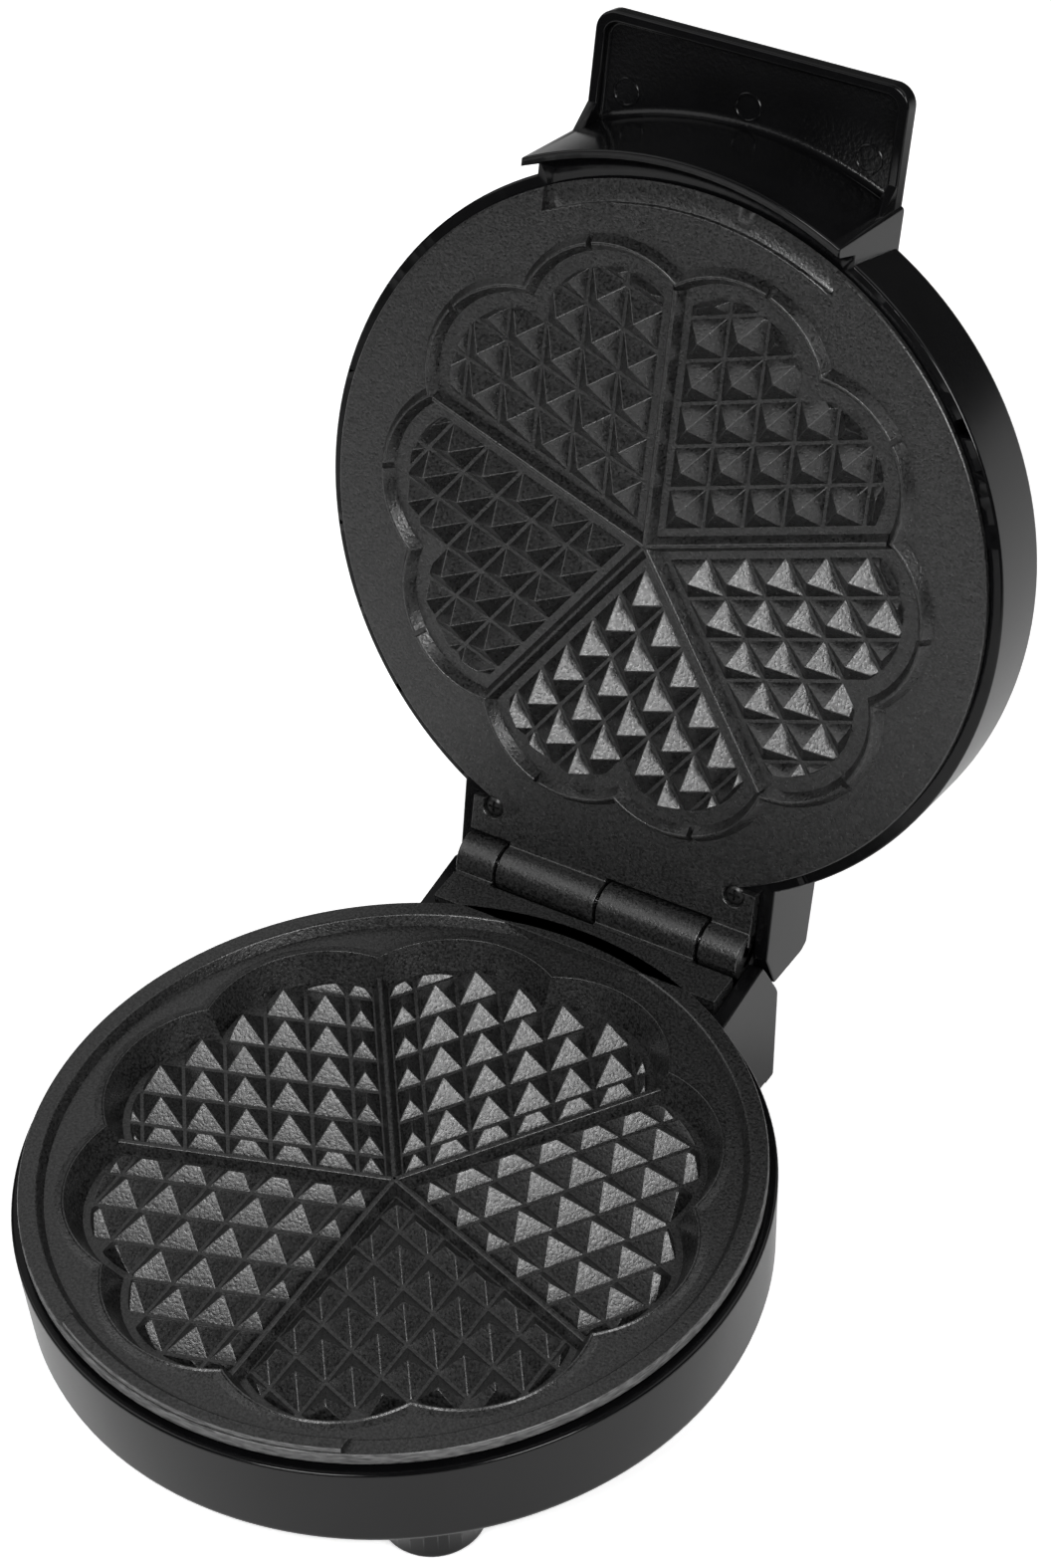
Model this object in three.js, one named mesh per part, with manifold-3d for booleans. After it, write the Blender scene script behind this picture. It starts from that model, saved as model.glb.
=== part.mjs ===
// Heart waffle maker, standing open as it is left to be filled.
// Millimetres, +Z up, +Y towards the hinge. The origin lies on the table, in the middle
// of the room that the open appliance takes. Each function below places its piece from
// the middle of the lower baking plate, and the whole is moved over the origin at the end.

import * as THREE from "three";
import { ConvexGeometry } from "three/addons/geometries/ConvexGeometry.js";
import { mergeVertices } from "three/addons/utils/BufferGeometryUtils.js";
import Module from "manifold-3d";

const wasm = await Module();
wasm.setup();

// Driving dimensions. Heights inside the appliance are measured from the lip that runs
// round the flower of the lower plate, with the lid closed.
const plateRadius = 103.5;
const lipHeight = 47;
const hingeProud = 11.7;
const hingeY = plateRadius + hingeProud;
const hingeRise = 3.5;
const openAngle = THREE.MathUtils.degToRad(106.7);
const overrun = 1;
const fitGap = 0.4;
const mergeTolerance = 0.0001;

// The flower: five hearts, each with two round lobes, split by five ribs.
const heartCount = 5;
const heartTurn = (2 * Math.PI) / heartCount;
const flowerMargin = 12.5;
const lipLobeRadius = 34.8;
const lobeDistance = plateRadius - flowerMargin - lipLobeRadius;
const lobeTurn = THREE.MathUtils.degToRad(17.2);
const dishDepth = 8.5;
const dishDraft = 4.3;
const floorLobeRadius = lipLobeRadius - dishDraft;

// The pyramids of both plates: a rhombic grid parallel to a heart's two ribs.
const cellPitch = 12;
const cellGroove = 1;
const pyramidSlope = Math.tan(THREE.MathUtils.degToRad(46.7));

// Facets round a full circle, by the size of the round.
const shellSides = 60;
const lobeSides = 20;
const barrelSides = 20;
const screwSides = 10;
const cornerSteps = 4;

// Lower plate, a coated aluminium casting.
const lower = {
  ringTop: 2.3,
  ringWidth: 5.2,
  ringSlope: 1.8,
  land: -0.8,
  edgeFoot: -1.6,
  edgeStep: 2.1,
  bodyFoot: -4.5,
  wall: 3,
  lipWidth: 0.6,
  lipFootWidth: 2.8,
  raisedArcTop: 4,
  raisedArcHalfWidth: 44.4,
  raisedArcInset: 1.2,
  ribHalfWidth: 2.1,
  ribCrestHalfWidth: 0.5,
  ribDrop: 5.3,
  firstGroove: 10,
  firstRowStart: 2.6,
  cellMargin: 1,
};
const ringInnerTop = plateRadius - lower.ringWidth;
const ringInnerFoot = ringInnerTop - lower.ringSlope;
const bodyRadius = plateRadius - lower.edgeStep;

// Upper plate: its baking face is flat, with a ridge round the flower.
const upper = {
  face: 3.1,
  edge: 2.2,
  thickness: 5,
  ridgeHeight: 3,
  ridgeInset: 4.4,
  ridgeCrestWidth: 0.5,
  ridgeOuterRun: 2.3,
  ridgeInnerRun: 2.4,
  ventWidth: 1.8,
  ribHalfWidth: 2.2,
  ribCrestHalfWidth: 0.5,
  firstGroove: 4,
  cellMargin: 3.8,
  recessMargin: 1.1,
  recessDepth: 1.5,
  hookWidth: 16,
  hookThickness: 1.8,
  hookReach: 2.4,
};
const ridgeCrestRadius = lipLobeRadius - upper.ridgeInset;
const ridgeOuterRadius = ridgeCrestRadius + upper.ridgeOuterRun;
const ridgeInnerRadius = ridgeCrestRadius - upper.ridgeInnerRun;
const recessHalfWidth = lower.raisedArcHalfWidth + 2 * fitGap;
const recessRadius = ringInnerTop - upper.recessMargin;

// Hinge: four barrels cast on the plates' rear tabs, two on each, round one steel pin.
const hinge = {
  tabHalfWidth: 47.4,
  tabGap: 1.15,
  tabThickness: 6,
  barrelRadius: 7.15,
  barrelSplit: 34.2,
  barrelGap: 1,
  pinRadius: 2.5,
  houseGap: 1.05,
  cheekGap: 0.5,
  cheekWall: 4.4,
};
const tabEnd = hingeY - hinge.barrelRadius - hinge.tabGap;
const houseRadius = hinge.barrelRadius + hinge.houseGap;
const barrelEnds = [-hinge.tabHalfWidth, -hinge.barrelSplit, 0, hinge.barrelSplit, hinge.tabHalfWidth];

// Base shell, glossy black plastic: bowl, rear tower and two front posts.
const base = {
  rimProud: 2.5,
  rimTop: -3.1,
  draft: 1.3,
  floorUnder: -33,
  edgeChamfer: 2.8,
  wall: 2.4,
  ledgeDepth: 3,
  postRadius: 14.6,
  postX: 53,
  postY: -68,
  glandWall: 9.6,
};
const baseRimRadius = plateRadius + base.rimProud;
const baseFootRadius = baseRimRadius - base.draft;
const ledgeRadius = bodyRadius + fitGap;
const towerHalfWidth = hinge.tabHalfWidth + hinge.cheekGap + hinge.cheekWall;

// The tower's corners, measured back from the hinge axis.
const tower = {
  cornerReach: 0.8,
  cornerZ: 0.5,
  backReach: 9.1,
  backZ: -15.6,
  footReach: 5.4,
  depth: 27.2,
  ribWidth: 4.5,
  ribDepth: 1,
};
const towerFront = hingeY - tower.depth;
const towerCorner = [hingeY + tower.cornerReach, tower.cornerZ];
const towerBack = [hingeY + tower.backReach, tower.backZ];
const towerFootBack = hingeY + tower.footReach;

// Lid shell, glossy black plastic: bowl, rear block, front bump with apron, and handle.
const lid = {
  rimProud: 3.6,
  rimFoot: 5.7,
  draft: 1.7,
  top: 33.4,
  edgeChamfer: 2.2,
  wall: 2.6,
  blockInset: 0.2,
  bumpHalfWidth: 49,
  bumpProud: 6.3,
  bumpFlare: 2.2,
  apronFoot: -4.5,
  apronWall: 2.2,
  apronLean: 1.5,
};
const lidRimRadius = plateRadius + lid.rimProud;
const lidTopRadius = lidRimRadius - lid.draft;
const blockHalfWidth = towerHalfWidth - lid.blockInset;
const bumpFootRadius = lidRimRadius + lid.bumpProud;
const bumpTopRadius = bumpFootRadius + lid.bumpFlare;
const apronFootInner = bumpFootRadius - lid.apronWall;
const apronRimInner = apronFootInner - lid.apronLean;

// The handle's tray, hollow from below, and the gussets at its ends.
const tray = {
  inset: 0.8,
  length: 22.7,
  foot: 27.8,
  floor: 30.5,
  wall: 3.2,
  corner: 6,
  gussetInset: 1.8,
  gussetFoot: 20.7,
};
const trayHalfWidth = lid.bumpHalfWidth - tray.inset;
const trayFront = bumpTopRadius + tray.length;
const gussetReach = bumpFootRadius - tray.gussetInset;

// The lid's rear block, measured back from the hinge axis. Its inner side meets the
// tower's side at this share of the tower's slope.
const lidBlock = { cornerReach: 1.3, cornerZ: 7, backReach: 8.2, backZ: 30.8, depth: 35.2 };
const stopShare = 0.74;

// Heating element and heat shield behind each plate.
const heater = { inset: 45.5, tube: 3.3, leadDrop: 9, steps: 30, sides: 6 };
const heaterGap = THREE.MathUtils.degToRad(16);
const heaterRadius = plateRadius - heater.inset;
const shield = { margin: 14, sheet: 0.8, rimRise: 5 };
const shieldRadius = heaterRadius + shield.margin;

// Screws, by what they hold.
const smallScrew = { shank: 1.5, head: 3.4, headHeight: 1.8, bossRadius: 4, circle: 32, bite: 4 };
const plateScrew = { shank: 1.9, head: 3.7, headHeight: 2.4, bossRadius: 5.2, margin: 10, sink: 4.8 };
const tabScrew = { shank: 1.8, head: 3, headHeight: 1.8, inset: 6.8, drop: 17.5, sink: 2.2, length: 16 };
const plateScrewCircle = shieldRadius + plateScrew.margin;
const frontScrewTurn = THREE.MathUtils.degToRad(20);
const rearScrewTurn = THREE.MathUtils.degToRad(50);
const tabScrewX = hinge.tabHalfWidth - tabScrew.inset;
const tabScrewY = hingeY - tabScrew.drop;

// Small parts: controls, cord entry, feet and lamps.
const thermostatSize = { capRadius: 9, neckRadius: 6, bodyHeight: 4.5, blade: 0.8, bladeWidth: 4.8 };
const fuseSize = { radius: 2, length: 11, y: -40, clipWidth: 5, clipSheet: 0.8 };
const blockSize = { width: 26, depth: 14, height: 9, inset: 4, wayRadius: 2.2 };
const glandSize = { bore: 3.6, tube: 6, flange: 8.2, flangeThickness: 2, length: 9, rise: 11 };
const clampSize = { width: 26, depth: 8, height: 5, cordRadius: 3.4, inset: 11.2, saddle: 2.2 };
const padSize = { radius: 9.5, height: 2.6, sink: 1.6 };
const lampSize = { radius: 2.6, height: 9, x: 14, y: -74, lensRadius: 3.4, lensRise: 1.2, board: 1.6 };
const terminalShares = [-2 / 3, 0, 2 / 3];

// A closed three.js geometry as a solid that can be joined and cut.
function solidOf(geometry) {
  const bare = geometry.clone();
  bare.deleteAttribute("normal");
  bare.deleteAttribute("uv");
  const merged = mergeVertices(bare, mergeTolerance);
  const position = merged.attributes.position;
  const corner = [0, 1, 2].map(() => new THREE.Vector3());
  const triangles = [];
  let volume = 0;
  for (let i = 0; i < merged.index.count; i += 3) {
    const [a, b, c] = [0, 1, 2].map((k) => merged.index.getX(i + k));
    if (a === b || b === c || c === a) continue;
    triangles.push([a, b, c]);
    [a, b, c].forEach((vertex, k) => corner[k].fromBufferAttribute(position, vertex));
    volume += corner[0].dot(corner[1].clone().cross(corner[2]));
  }
  const outward = volume < 0 ? triangles.map(([a, b, c]) => [a, c, b]) : triangles;
  const mesh = new wasm.Mesh({
    numProp: 3,
    vertProperties: Float32Array.from(position.array),
    triVerts: Uint32Array.from(outward.flat()),
  });
  return new wasm.Manifold(mesh);
}

// A solid back as a three.js geometry.
function geometryOf(solid) {
  const mesh = solid.getMesh();
  const geometry = new THREE.BufferGeometry();
  geometry.setAttribute("position", new THREE.BufferAttribute(mesh.vertProperties, 3));
  geometry.setIndex(new THREE.BufferAttribute(mesh.triVerts, 1));
  return geometry;
}

function join(solids) {
  return solids.reduce((whole, piece) => whole.add(piece));
}

function box([x0, x1], [y0, y1], [z0, z1]) {
  const geometry = new THREE.BoxGeometry(x1 - x0, y1 - y0, z1 - z0);
  geometry.translate((x0 + x1) / 2, (y0 + y1) / 2, (z0 + z1) / 2);
  return solidOf(geometry);
}

// A cone stump or cylinder standing on z0.
function stump(footRadius, topRadius, [z0, z1], [x, y], sides) {
  const geometry = new THREE.CylinderGeometry(topRadius, footRadius, z1 - z0, sides);
  geometry.rotateX(Math.PI / 2);
  geometry.translate(x, y, (z0 + z1) / 2);
  return solidOf(geometry);
}

function cylinder(radius, span, centre, sides = barrelSides) {
  return stump(radius, radius, span, centre, sides);
}

function cylinderAlongX(radius, [x0, x1], [y, z], sides = barrelSides) {
  const geometry = new THREE.CylinderGeometry(radius, radius, x1 - x0, sides);
  geometry.rotateZ(Math.PI / 2);
  geometry.translate((x0 + x1) / 2, y, z);
  return solidOf(geometry);
}

function cylinderAlongY(radius, [y0, y1], [x, z], sides = barrelSides) {
  const geometry = new THREE.CylinderGeometry(radius, radius, y1 - y0, sides);
  geometry.translate(x, (y0 + y1) / 2, z);
  return solidOf(geometry);
}

// A profile of [radius, height] points, from axis to axis or closed, turned about Z.
function turned(profile, sides = shellSides) {
  const points = profile.map(([r, z]) => new THREE.Vector2(r, z));
  const geometry = new THREE.LatheGeometry(points, sides);
  geometry.rotateX(Math.PI / 2);
  return solidOf(geometry);
}

function shapeOf(points) {
  return new THREE.Shape(points.map(([x, y]) => new THREE.Vector2(x, y)));
}

// An outline of [y, z] points pulled along X.
function prismAlongX(outline, [x0, x1]) {
  const options = { depth: x1 - x0, bevelEnabled: false };
  const geometry = new THREE.ExtrudeGeometry(shapeOf(outline), options);
  const towardsY = new THREE.Vector3(0, 1, 0);
  const towardsZ = new THREE.Vector3(0, 0, 1);
  const towardsX = new THREE.Vector3(1, 0, 0);
  geometry.applyMatrix4(new THREE.Matrix4().makeBasis(towardsY, towardsZ, towardsX));
  geometry.translate(x0, 0, 0);
  return solidOf(geometry);
}

// A shape drawn in X and Y pulled up Z.
function prismUp(shape, [z0, z1], curveSegments) {
  const options = { depth: z1 - z0, bevelEnabled: false, curveSegments };
  const geometry = new THREE.ExtrudeGeometry(shape, options);
  geometry.translate(0, 0, z0);
  return solidOf(geometry);
}

// The same convex outline, drawn in by the wall's thickness. It runs anticlockwise.
function drawnIn(outline, wall) {
  const sides = outline.map((point, i) => {
    const next = outline[(i + 1) % outline.length];
    const along = new THREE.Vector2(next[0] - point[0], next[1] - point[1]).normalize();
    const inward = new THREE.Vector2(-along.y, along.x).multiplyScalar(wall);
    return { at: new THREE.Vector2(point[0], point[1]).add(inward), along };
  });
  return sides.map((side, i) => {
    const before = sides[(i + sides.length - 1) % sides.length];
    const reach = side.at.clone().sub(before.at).cross(side.along) / before.along.cross(side.along);
    const corner = before.at.clone().addScaledVector(before.along, reach);
    return [corner.x, corner.y];
  });
}

function polar(radius, angle) {
  return [radius * Math.cos(angle), radius * Math.sin(angle)];
}

// Five copies of a heart's solid, turned about the plate's middle.
function roundTheFlower(solid) {
  const geometry = geometryOf(solid);
  const copies = [];
  for (let i = 0; i < heartCount; i += 1) {
    copies.push(solidOf(geometry.clone().rotateZ(i * heartTurn)));
  }
  return join(copies);
}

// One heart's area as a solid: two lobes with sloping walls, and the wedge behind them.
function heartBlock([footRadius, topRadius], span) {
  const middle = Math.PI / 2;
  const lobes = [-lobeTurn, lobeTurn].map((turn) =>
    stump(footRadius, topRadius, span, polar(lobeDistance, middle + turn), lobeSides));
  const halfHeart = heartTurn / 2;
  const alongRib = lobeDistance * Math.cos(halfHeart - lobeTurn);
  const [ribX, ribY] = polar(alongRib, middle - halfHeart);
  const [lobeX, lobeY] = polar(lobeDistance, middle - lobeTurn);
  const wedge = shapeOf([
    [0, -overrun],
    [ribX + overrun, ribY],
    [lobeX, lobeY],
    [-lobeX, lobeY],
    [-ribX - overrun, ribY],
  ]);
  return join([...lobes, prismUp(wedge, span)]);
}

function flowerBlock(radii, span) {
  return roundTheFlower(heartBlock(radii, span));
}

// Ribs between the hearts: a wedge section with a narrow flat crest.
function ribs(halfWidth, crestHalfWidth, height, reach, floor) {
  const section = shapeOf([
    [-halfWidth, floor - overrun],
    [halfWidth, floor - overrun],
    [halfWidth, floor],
    [crestHalfWidth, floor + height],
    [-crestHalfWidth, floor + height],
    [-halfWidth, floor],
  ]);
  const geometry = new THREE.ExtrudeGeometry(section, { depth: reach, bevelEnabled: false });
  geometry.rotateX(Math.PI / 2);
  return roundTheFlower(solidOf(geometry));
}

// A point of the heart on +Y, by its distances from the heart's two ribs.
function fromRibs(one, other) {
  const ribAngle = Math.PI / 2 - heartTurn / 2;
  const x = (other - one) / (2 * Math.sin(ribAngle));
  const y = (other + one) / (2 * Math.cos(ribAngle));
  return [x, y];
}

// One cell: a pyramid, or a hip roof where one of its rows is narrower. It is sunk by the
// overrun so that it merges with the plate.
function cellSolid([from, to], [otherFrom, otherTo], floor) {
  const half = Math.min(to - from, otherTo - otherFrom) / 2;
  const top = floor + half * pyramidSlope;
  const points = [];
  for (const one of [from, to]) {
    for (const other of [otherFrom, otherTo]) {
      points.push([one, other, floor - overrun], [one, other, floor]);
      const inward = one === from ? from + half : to - half;
      const otherInward = other === otherFrom ? otherFrom + half : otherTo - half;
      points.push([inward, otherInward, top]);
    }
  }
  const corners = points.map(([one, other, z]) => new THREE.Vector3(...fromRibs(one, other), z));
  return solidOf(new ConvexGeometry(corners));
}

// The cells of one heart, cut by the heart's own outline at the pyramids' slope.
function heartPyramids(rows, outlineRadius, floor) {
  const farthest = lobeDistance + outlineRadius;
  const cells = [];
  for (const row of rows) {
    for (const otherRow of rows) {
      const [x, y] = fromRibs(row[0], otherRow[0]);
      if (Math.hypot(x, y) < farthest) cells.push(cellSolid(row, otherRow, floor));
    }
  }
  const height = (cellPitch / 2) * pyramidSlope;
  const span = [floor - overrun, floor + height];
  const radii = [outlineRadius + overrun / pyramidSlope, outlineRadius - height / pyramidSlope];
  return join(cells).intersect(heartBlock(radii, span));
}

// Rows of cells as [from, to] distances from a rib's middle line.
function cellRows(firstGroove, firstRowStart) {
  const half = cellGroove / 2;
  const rows = firstRowStart ? [[firstRowStart, firstGroove - half]] : [];
  for (let from = firstGroove; from < plateRadius; from += cellPitch) {
    rows.push([from + half, from + cellPitch - half]);
  }
  return rows;
}

// Bosses and bores on a plate's back, for the screws that hold its heat shield.
function onShieldScrews(make) {
  const third = (2 * Math.PI) / 3;
  return [0, 1, 2].map((i) => make(polar(smallScrew.circle, Math.PI / 2 + i * third)));
}

function shieldTop(back) {
  return back - 2 * heater.tube - 2 * fitGap;
}

function withShieldBosses(plate, back) {
  const foot = shieldTop(back) + fitGap;
  const bosses = onShieldScrews((at) => cylinder(smallScrew.bossRadius, [foot, back + overrun], at));
  const tip = shieldTop(back) + smallScrew.bite;
  const bores = onShieldScrews((at) =>
    cylinder(smallScrew.shank + fitGap, [foot - overrun, tip + fitGap], at, screwSides));
  return plate.add(join(bosses)).subtract(join(bores));
}

// Hinge barrels with their arms. The plate's tab lies on the -Y side of the axis.
function hingeBarrels(indices, axisZ, [armFoot, armTop]) {
  const solids = indices.flatMap((i) => {
    const from = barrelEnds[i] + (i === 0 ? 0 : hinge.barrelGap / 2);
    const last = barrelEnds.length - 2;
    const to = barrelEnds[i + 1] - (i === last ? 0 : hinge.barrelGap / 2);
    const barrel = cylinderAlongX(hinge.barrelRadius, [from, to], [hingeY, axisZ]);
    const arm = box([from, to], [tabEnd - overrun, hingeY], [armFoot, armTop]);
    return [barrel, arm];
  });
  const width = hinge.tabHalfWidth + overrun;
  const bore = cylinderAlongX(hinge.pinRadius + fitGap, [-width, width], [hingeY, axisZ]);
  return { solid: join(solids), bore };
}

function lowerPlateSolid() {
  const ring = turned([
    [0, lower.bodyFoot],
    [bodyRadius, lower.bodyFoot],
    [bodyRadius, lower.edgeFoot],
    [plateRadius, lower.edgeFoot],
    [plateRadius, lower.ringTop],
    [ringInnerTop, lower.ringTop],
    [ringInnerFoot, lower.land],
    [0, lower.land],
  ]);
  const arcInner = ringInnerTop + lower.raisedArcInset;
  const arcRing = turned([
    [ringInnerTop, lower.ringTop - overrun],
    [plateRadius - lower.raisedArcInset / 2, lower.ringTop - overrun],
    [plateRadius - lower.raisedArcInset / 2, lower.raisedArcTop],
    [arcInner, lower.raisedArcTop],
    [ringInnerTop, lower.ringTop],
    [ringInnerTop, lower.ringTop - overrun],
  ]);
  const arcHalf = lower.raisedArcHalfWidth;
  const arcSpan = [lower.land, lower.raisedArcTop + overrun];
  const frontSide = box([-arcHalf, arcHalf], [-plateRadius - overrun, 0], arcSpan);
  const tabFoot = lower.ringTop - hinge.tabThickness;
  const tabWidth = [-hinge.tabHalfWidth, hinge.tabHalfWidth];
  const tab = box(tabWidth, [ringInnerFoot - overrun, tabEnd], [tabFoot, lower.ringTop]);
  const barrels = hingeBarrels([0, 2], hingeRise, [tabFoot, lower.ringTop]);
  const back = -dishDepth - lower.wall;
  const panRadius = lobeDistance + lipLobeRadius + lower.wall;
  const pan = cylinder(panRadius, [back, lower.land - overrun], [0, 0], shellSides);
  const lip = flowerBlock(
    [lipLobeRadius + lower.lipFootWidth, lipLobeRadius + lower.lipWidth],
    [lower.land, 0]);
  const draft = (lipLobeRadius - floorLobeRadius) / dishDepth;
  const dish = flowerBlock([floorLobeRadius, lipLobeRadius + draft * overrun], [-dishDepth, overrun]);
  const reach = lobeDistance + lipLobeRadius;
  const ribHeight = dishDepth - lower.ribDrop;
  const wholeRibs = ribs(lower.ribHalfWidth, lower.ribCrestHalfWidth, ribHeight, reach, -dishDepth);
  const ribRoom = flowerBlock([floorLobeRadius + overrun, lipLobeRadius + overrun], [back + overrun, 0]);
  const dishRibs = wholeRibs.intersect(ribRoom);
  const rows = cellRows(lower.firstGroove, lower.firstRowStart);
  const cells = roundTheFlower(heartPyramids(rows, floorLobeRadius - lower.cellMargin, -dishDepth));
  const body = join([ring, arcRing.intersect(frontSide), tab, barrels.solid, pan, lip]);
  const baked = body.subtract(dish).add(dishRibs).add(cells).subtract(barrels.bore);
  const bossed = withShieldBosses(baked, back);
  const bossFoot = back - lower.wall;
  const bosses = onPlateScrews((at) => cylinder(plateScrew.bossRadius, [bossFoot, back + overrun], at));
  const boreSpan = [bossFoot - overrun, -dishDepth - fitGap];
  const bores = onPlateScrews((at) => cylinder(plateScrew.shank + fitGap, boreSpan, at, screwSides));
  return bossed.add(join(bosses)).subtract(join(bores));
}

// The four long screws that hold the lower plate stand on one circle. The rear pair stands
// beside the tower, and the front pair between the posts, where a driver reaches the heads.
function onPlateScrews(make) {
  const rear = Math.PI / 2;
  const turns = [
    rear - rearScrewTurn,
    rear + rearScrewTurn,
    -rear - frontScrewTurn,
    -rear + frontScrewTurn,
  ];
  return turns.map((turn) => make(polar(plateScrewCircle, turn)));
}

// The upper plate lies face up here, its face at height zero.
function upperPlateSolid() {
  const back = -upper.thickness;
  const disc = turned([
    [0, back],
    [bodyRadius, back],
    [bodyRadius, -upper.edge],
    [plateRadius, -upper.edge],
    [plateRadius, 0],
    [0, 0],
  ]);
  const groove = turned([
    [recessRadius, -upper.recessDepth],
    [plateRadius + overrun, -upper.recessDepth],
    [plateRadius + overrun, overrun],
    [recessRadius, overrun],
    [recessRadius, -upper.recessDepth],
  ]);
  const grooveSpan = [-upper.recessDepth - overrun, 2 * overrun];
  const grooveFront = box([-recessHalfWidth, recessHalfWidth], [-plateRadius - 2 * overrun, 0], grooveSpan);
  const tabWidth = [-hinge.tabHalfWidth, hinge.tabHalfWidth];
  const tab = box(tabWidth, [ringInnerFoot - overrun, tabEnd], [back, 0]);
  const axisZ = upper.face - hingeRise;
  const barrels = hingeBarrels([0, 2], axisZ, [back, 0]);
  const crestOuter = ridgeCrestRadius + upper.ridgeCrestWidth / 2;
  const crestInner = ridgeCrestRadius - upper.ridgeCrestWidth / 2;
  const outerRun = ((ridgeOuterRadius - crestOuter) / upper.ridgeHeight) * overrun;
  const innerRun = ((crestInner - ridgeInnerRadius) / upper.ridgeHeight) * overrun;
  const outer = flowerBlock([ridgeOuterRadius + outerRun, crestOuter], [-overrun, upper.ridgeHeight]);
  const inner = flowerBlock([ridgeInnerRadius - innerRun / 2, crestInner + innerRun],
    [-overrun / 2, upper.ridgeHeight + overrun]);
  const ridge = outer.subtract(inner);
  const vents = ventCuts();
  const reach = lobeDistance + ridgeCrestRadius;
  const crossRibs = ribs(upper.ribHalfWidth, upper.ribCrestHalfWidth, upper.ridgeHeight, reach, 0)
    .intersect(outer);
  const cellRadius = ridgeInnerRadius - upper.cellMargin;
  const cells = roundTheFlower(heartPyramids(cellRows(upper.firstGroove), cellRadius, 0));
  const body = join([disc, tab, barrels.solid, hookSolid(back)]);
  const raised = join([ridge.subtract(vents), crossRibs, cells]);
  const plate = body.subtract(groove.intersect(grooveFront)).subtract(barrels.bore).add(raised);
  const sinkSpan = [-tabScrew.sink, overrun];
  const sinks = onTabScrews((at) => cylinder(tabScrew.head + fitGap, sinkSpan, at, screwSides));
  const bores = onTabScrews((at) => cylinder(tabScrew.shank + fitGap, [back - overrun, 0], at, screwSides));
  return withShieldBosses(plate.subtract(join([...sinks, ...bores])), back);
}

// The two screws of the upper plate's tab stand near its ends.
function onTabScrews(make) {
  return [-1, 1].map((side) => make([side * tabScrewX, tabScrewY]));
}

// A narrow slot through the ridge at the middle of every lobe lets steam out.
function ventCuts() {
  const from = lobeDistance;
  const to = lobeDistance + ridgeOuterRadius + overrun;
  const half = upper.ventWidth / 2;
  const slot = box([-half, half], [from, to], [0, upper.ridgeHeight + overrun]);
  const geometry = geometryOf(slot);
  const cuts = [-lobeTurn, lobeTurn].map((turn) => solidOf(geometry.clone().rotateZ(turn)));
  return roundTheFlower(join(cuts));
}

// A tongue on the upper plate's front edge that hooks behind the lid's rim.
function hookSolid(back) {
  const half = upper.hookWidth / 2;
  const foot = -(lid.rimFoot + lid.wall - upper.face) - fitGap;
  const under = foot - upper.hookThickness;
  const inner = 2 * upper.hookReach - bodyRadius;
  const stem = box([-half, half], [fitGap - bodyRadius, inner], [under, back + overrun]);
  const tongue = box([-half, half], [-bodyRadius - upper.hookReach, inner], [under, foot]);
  return stem.add(tongue);
}

// Sheathed heating element: an open ring with a terminal post at each end, away from
// the plate.
function heaterSolid(back) {
  const z = back - fitGap - heater.tube;
  const start = Math.PI / 2 + heaterGap / 2;
  const sweep = 2 * Math.PI - heaterGap;
  const points = [];
  for (let i = 0; i <= heater.steps; i += 1) {
    points.push(new THREE.Vector3(...polar(heaterRadius, start + (sweep * i) / heater.steps), z));
  }
  const section = new THREE.Shape().absarc(0, 0, heater.tube, 0, 2 * Math.PI);
  const extrudePath = new THREE.CatmullRomCurve3(points);
  const options = { steps: heater.steps, curveSegments: heater.sides, extrudePath };
  const ring = new THREE.ExtrudeGeometry(section, options);
  const postSpan = [z - heater.leadDrop, z + heater.tube - fitGap];
  const posts = [start, start + sweep].map((angle) =>
    cylinder(heater.tube - fitGap, postSpan, polar(heaterRadius, angle)));
  return join([solidOf(ring), ...posts]);
}

// Pressed sheet that clamps the element against the plate.
function shieldSolid(back, neckRadius) {
  const top = shieldTop(back);
  const foot = top - shield.sheet;
  const sheet = turned([
    [neckRadius, foot],
    [shieldRadius, foot],
    [shieldRadius, top + shield.rimRise],
    [shieldRadius - shield.sheet, top + shield.rimRise],
    [shieldRadius - shield.sheet, top],
    [neckRadius, top],
    [neckRadius, foot],
  ], lobeSides);
  const through = [foot - overrun, top + overrun];
  const holes = onShieldScrews((at) => cylinder(smallScrew.shank + fitGap, through, at, screwSides));
  const leadTurn = heaterGap / 2;
  const leads = [-leadTurn, leadTurn].map((turn) =>
    cylinder(heater.tube + 2 * fitGap, through, polar(heaterRadius, Math.PI / 2 + turn)));
  return sheet.subtract(join([...holes, ...leads]));
}

function shieldScrews(back) {
  const under = shieldTop(back) - shield.sheet - fitGap;
  const tip = shieldTop(back) + smallScrew.bite;
  return onShieldScrews((at) => cylinder(smallScrew.shank, [under - overrun, tip], at, screwSides)
    .add(cylinder(smallScrew.head, [under - smallScrew.headHeight, under], at, screwSides)));
}

// Outline of the rear tower's side, as [y, z] points anticlockwise.
function towerOutline() {
  return [
    [towerFront, -lipHeight],
    [towerFootBack, -lipHeight],
    towerBack,
    towerCorner,
    [Math.sqrt(baseRimRadius ** 2 - towerHalfWidth ** 2), base.rimTop],
    [towerFront - base.edgeChamfer, base.floorUnder + overrun],
  ];
}

function baseBowl(wall) {
  const top = wall ? base.rimTop - base.ledgeDepth : base.rimTop;
  const foot = base.floorUnder + wall;
  const chamfer = base.edgeChamfer;
  return turned([
    [0, foot],
    [baseFootRadius - chamfer - wall / 2, foot],
    [baseFootRadius - wall, foot + chamfer],
    [baseRimRadius - wall, top],
    [0, top],
  ]);
}

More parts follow.
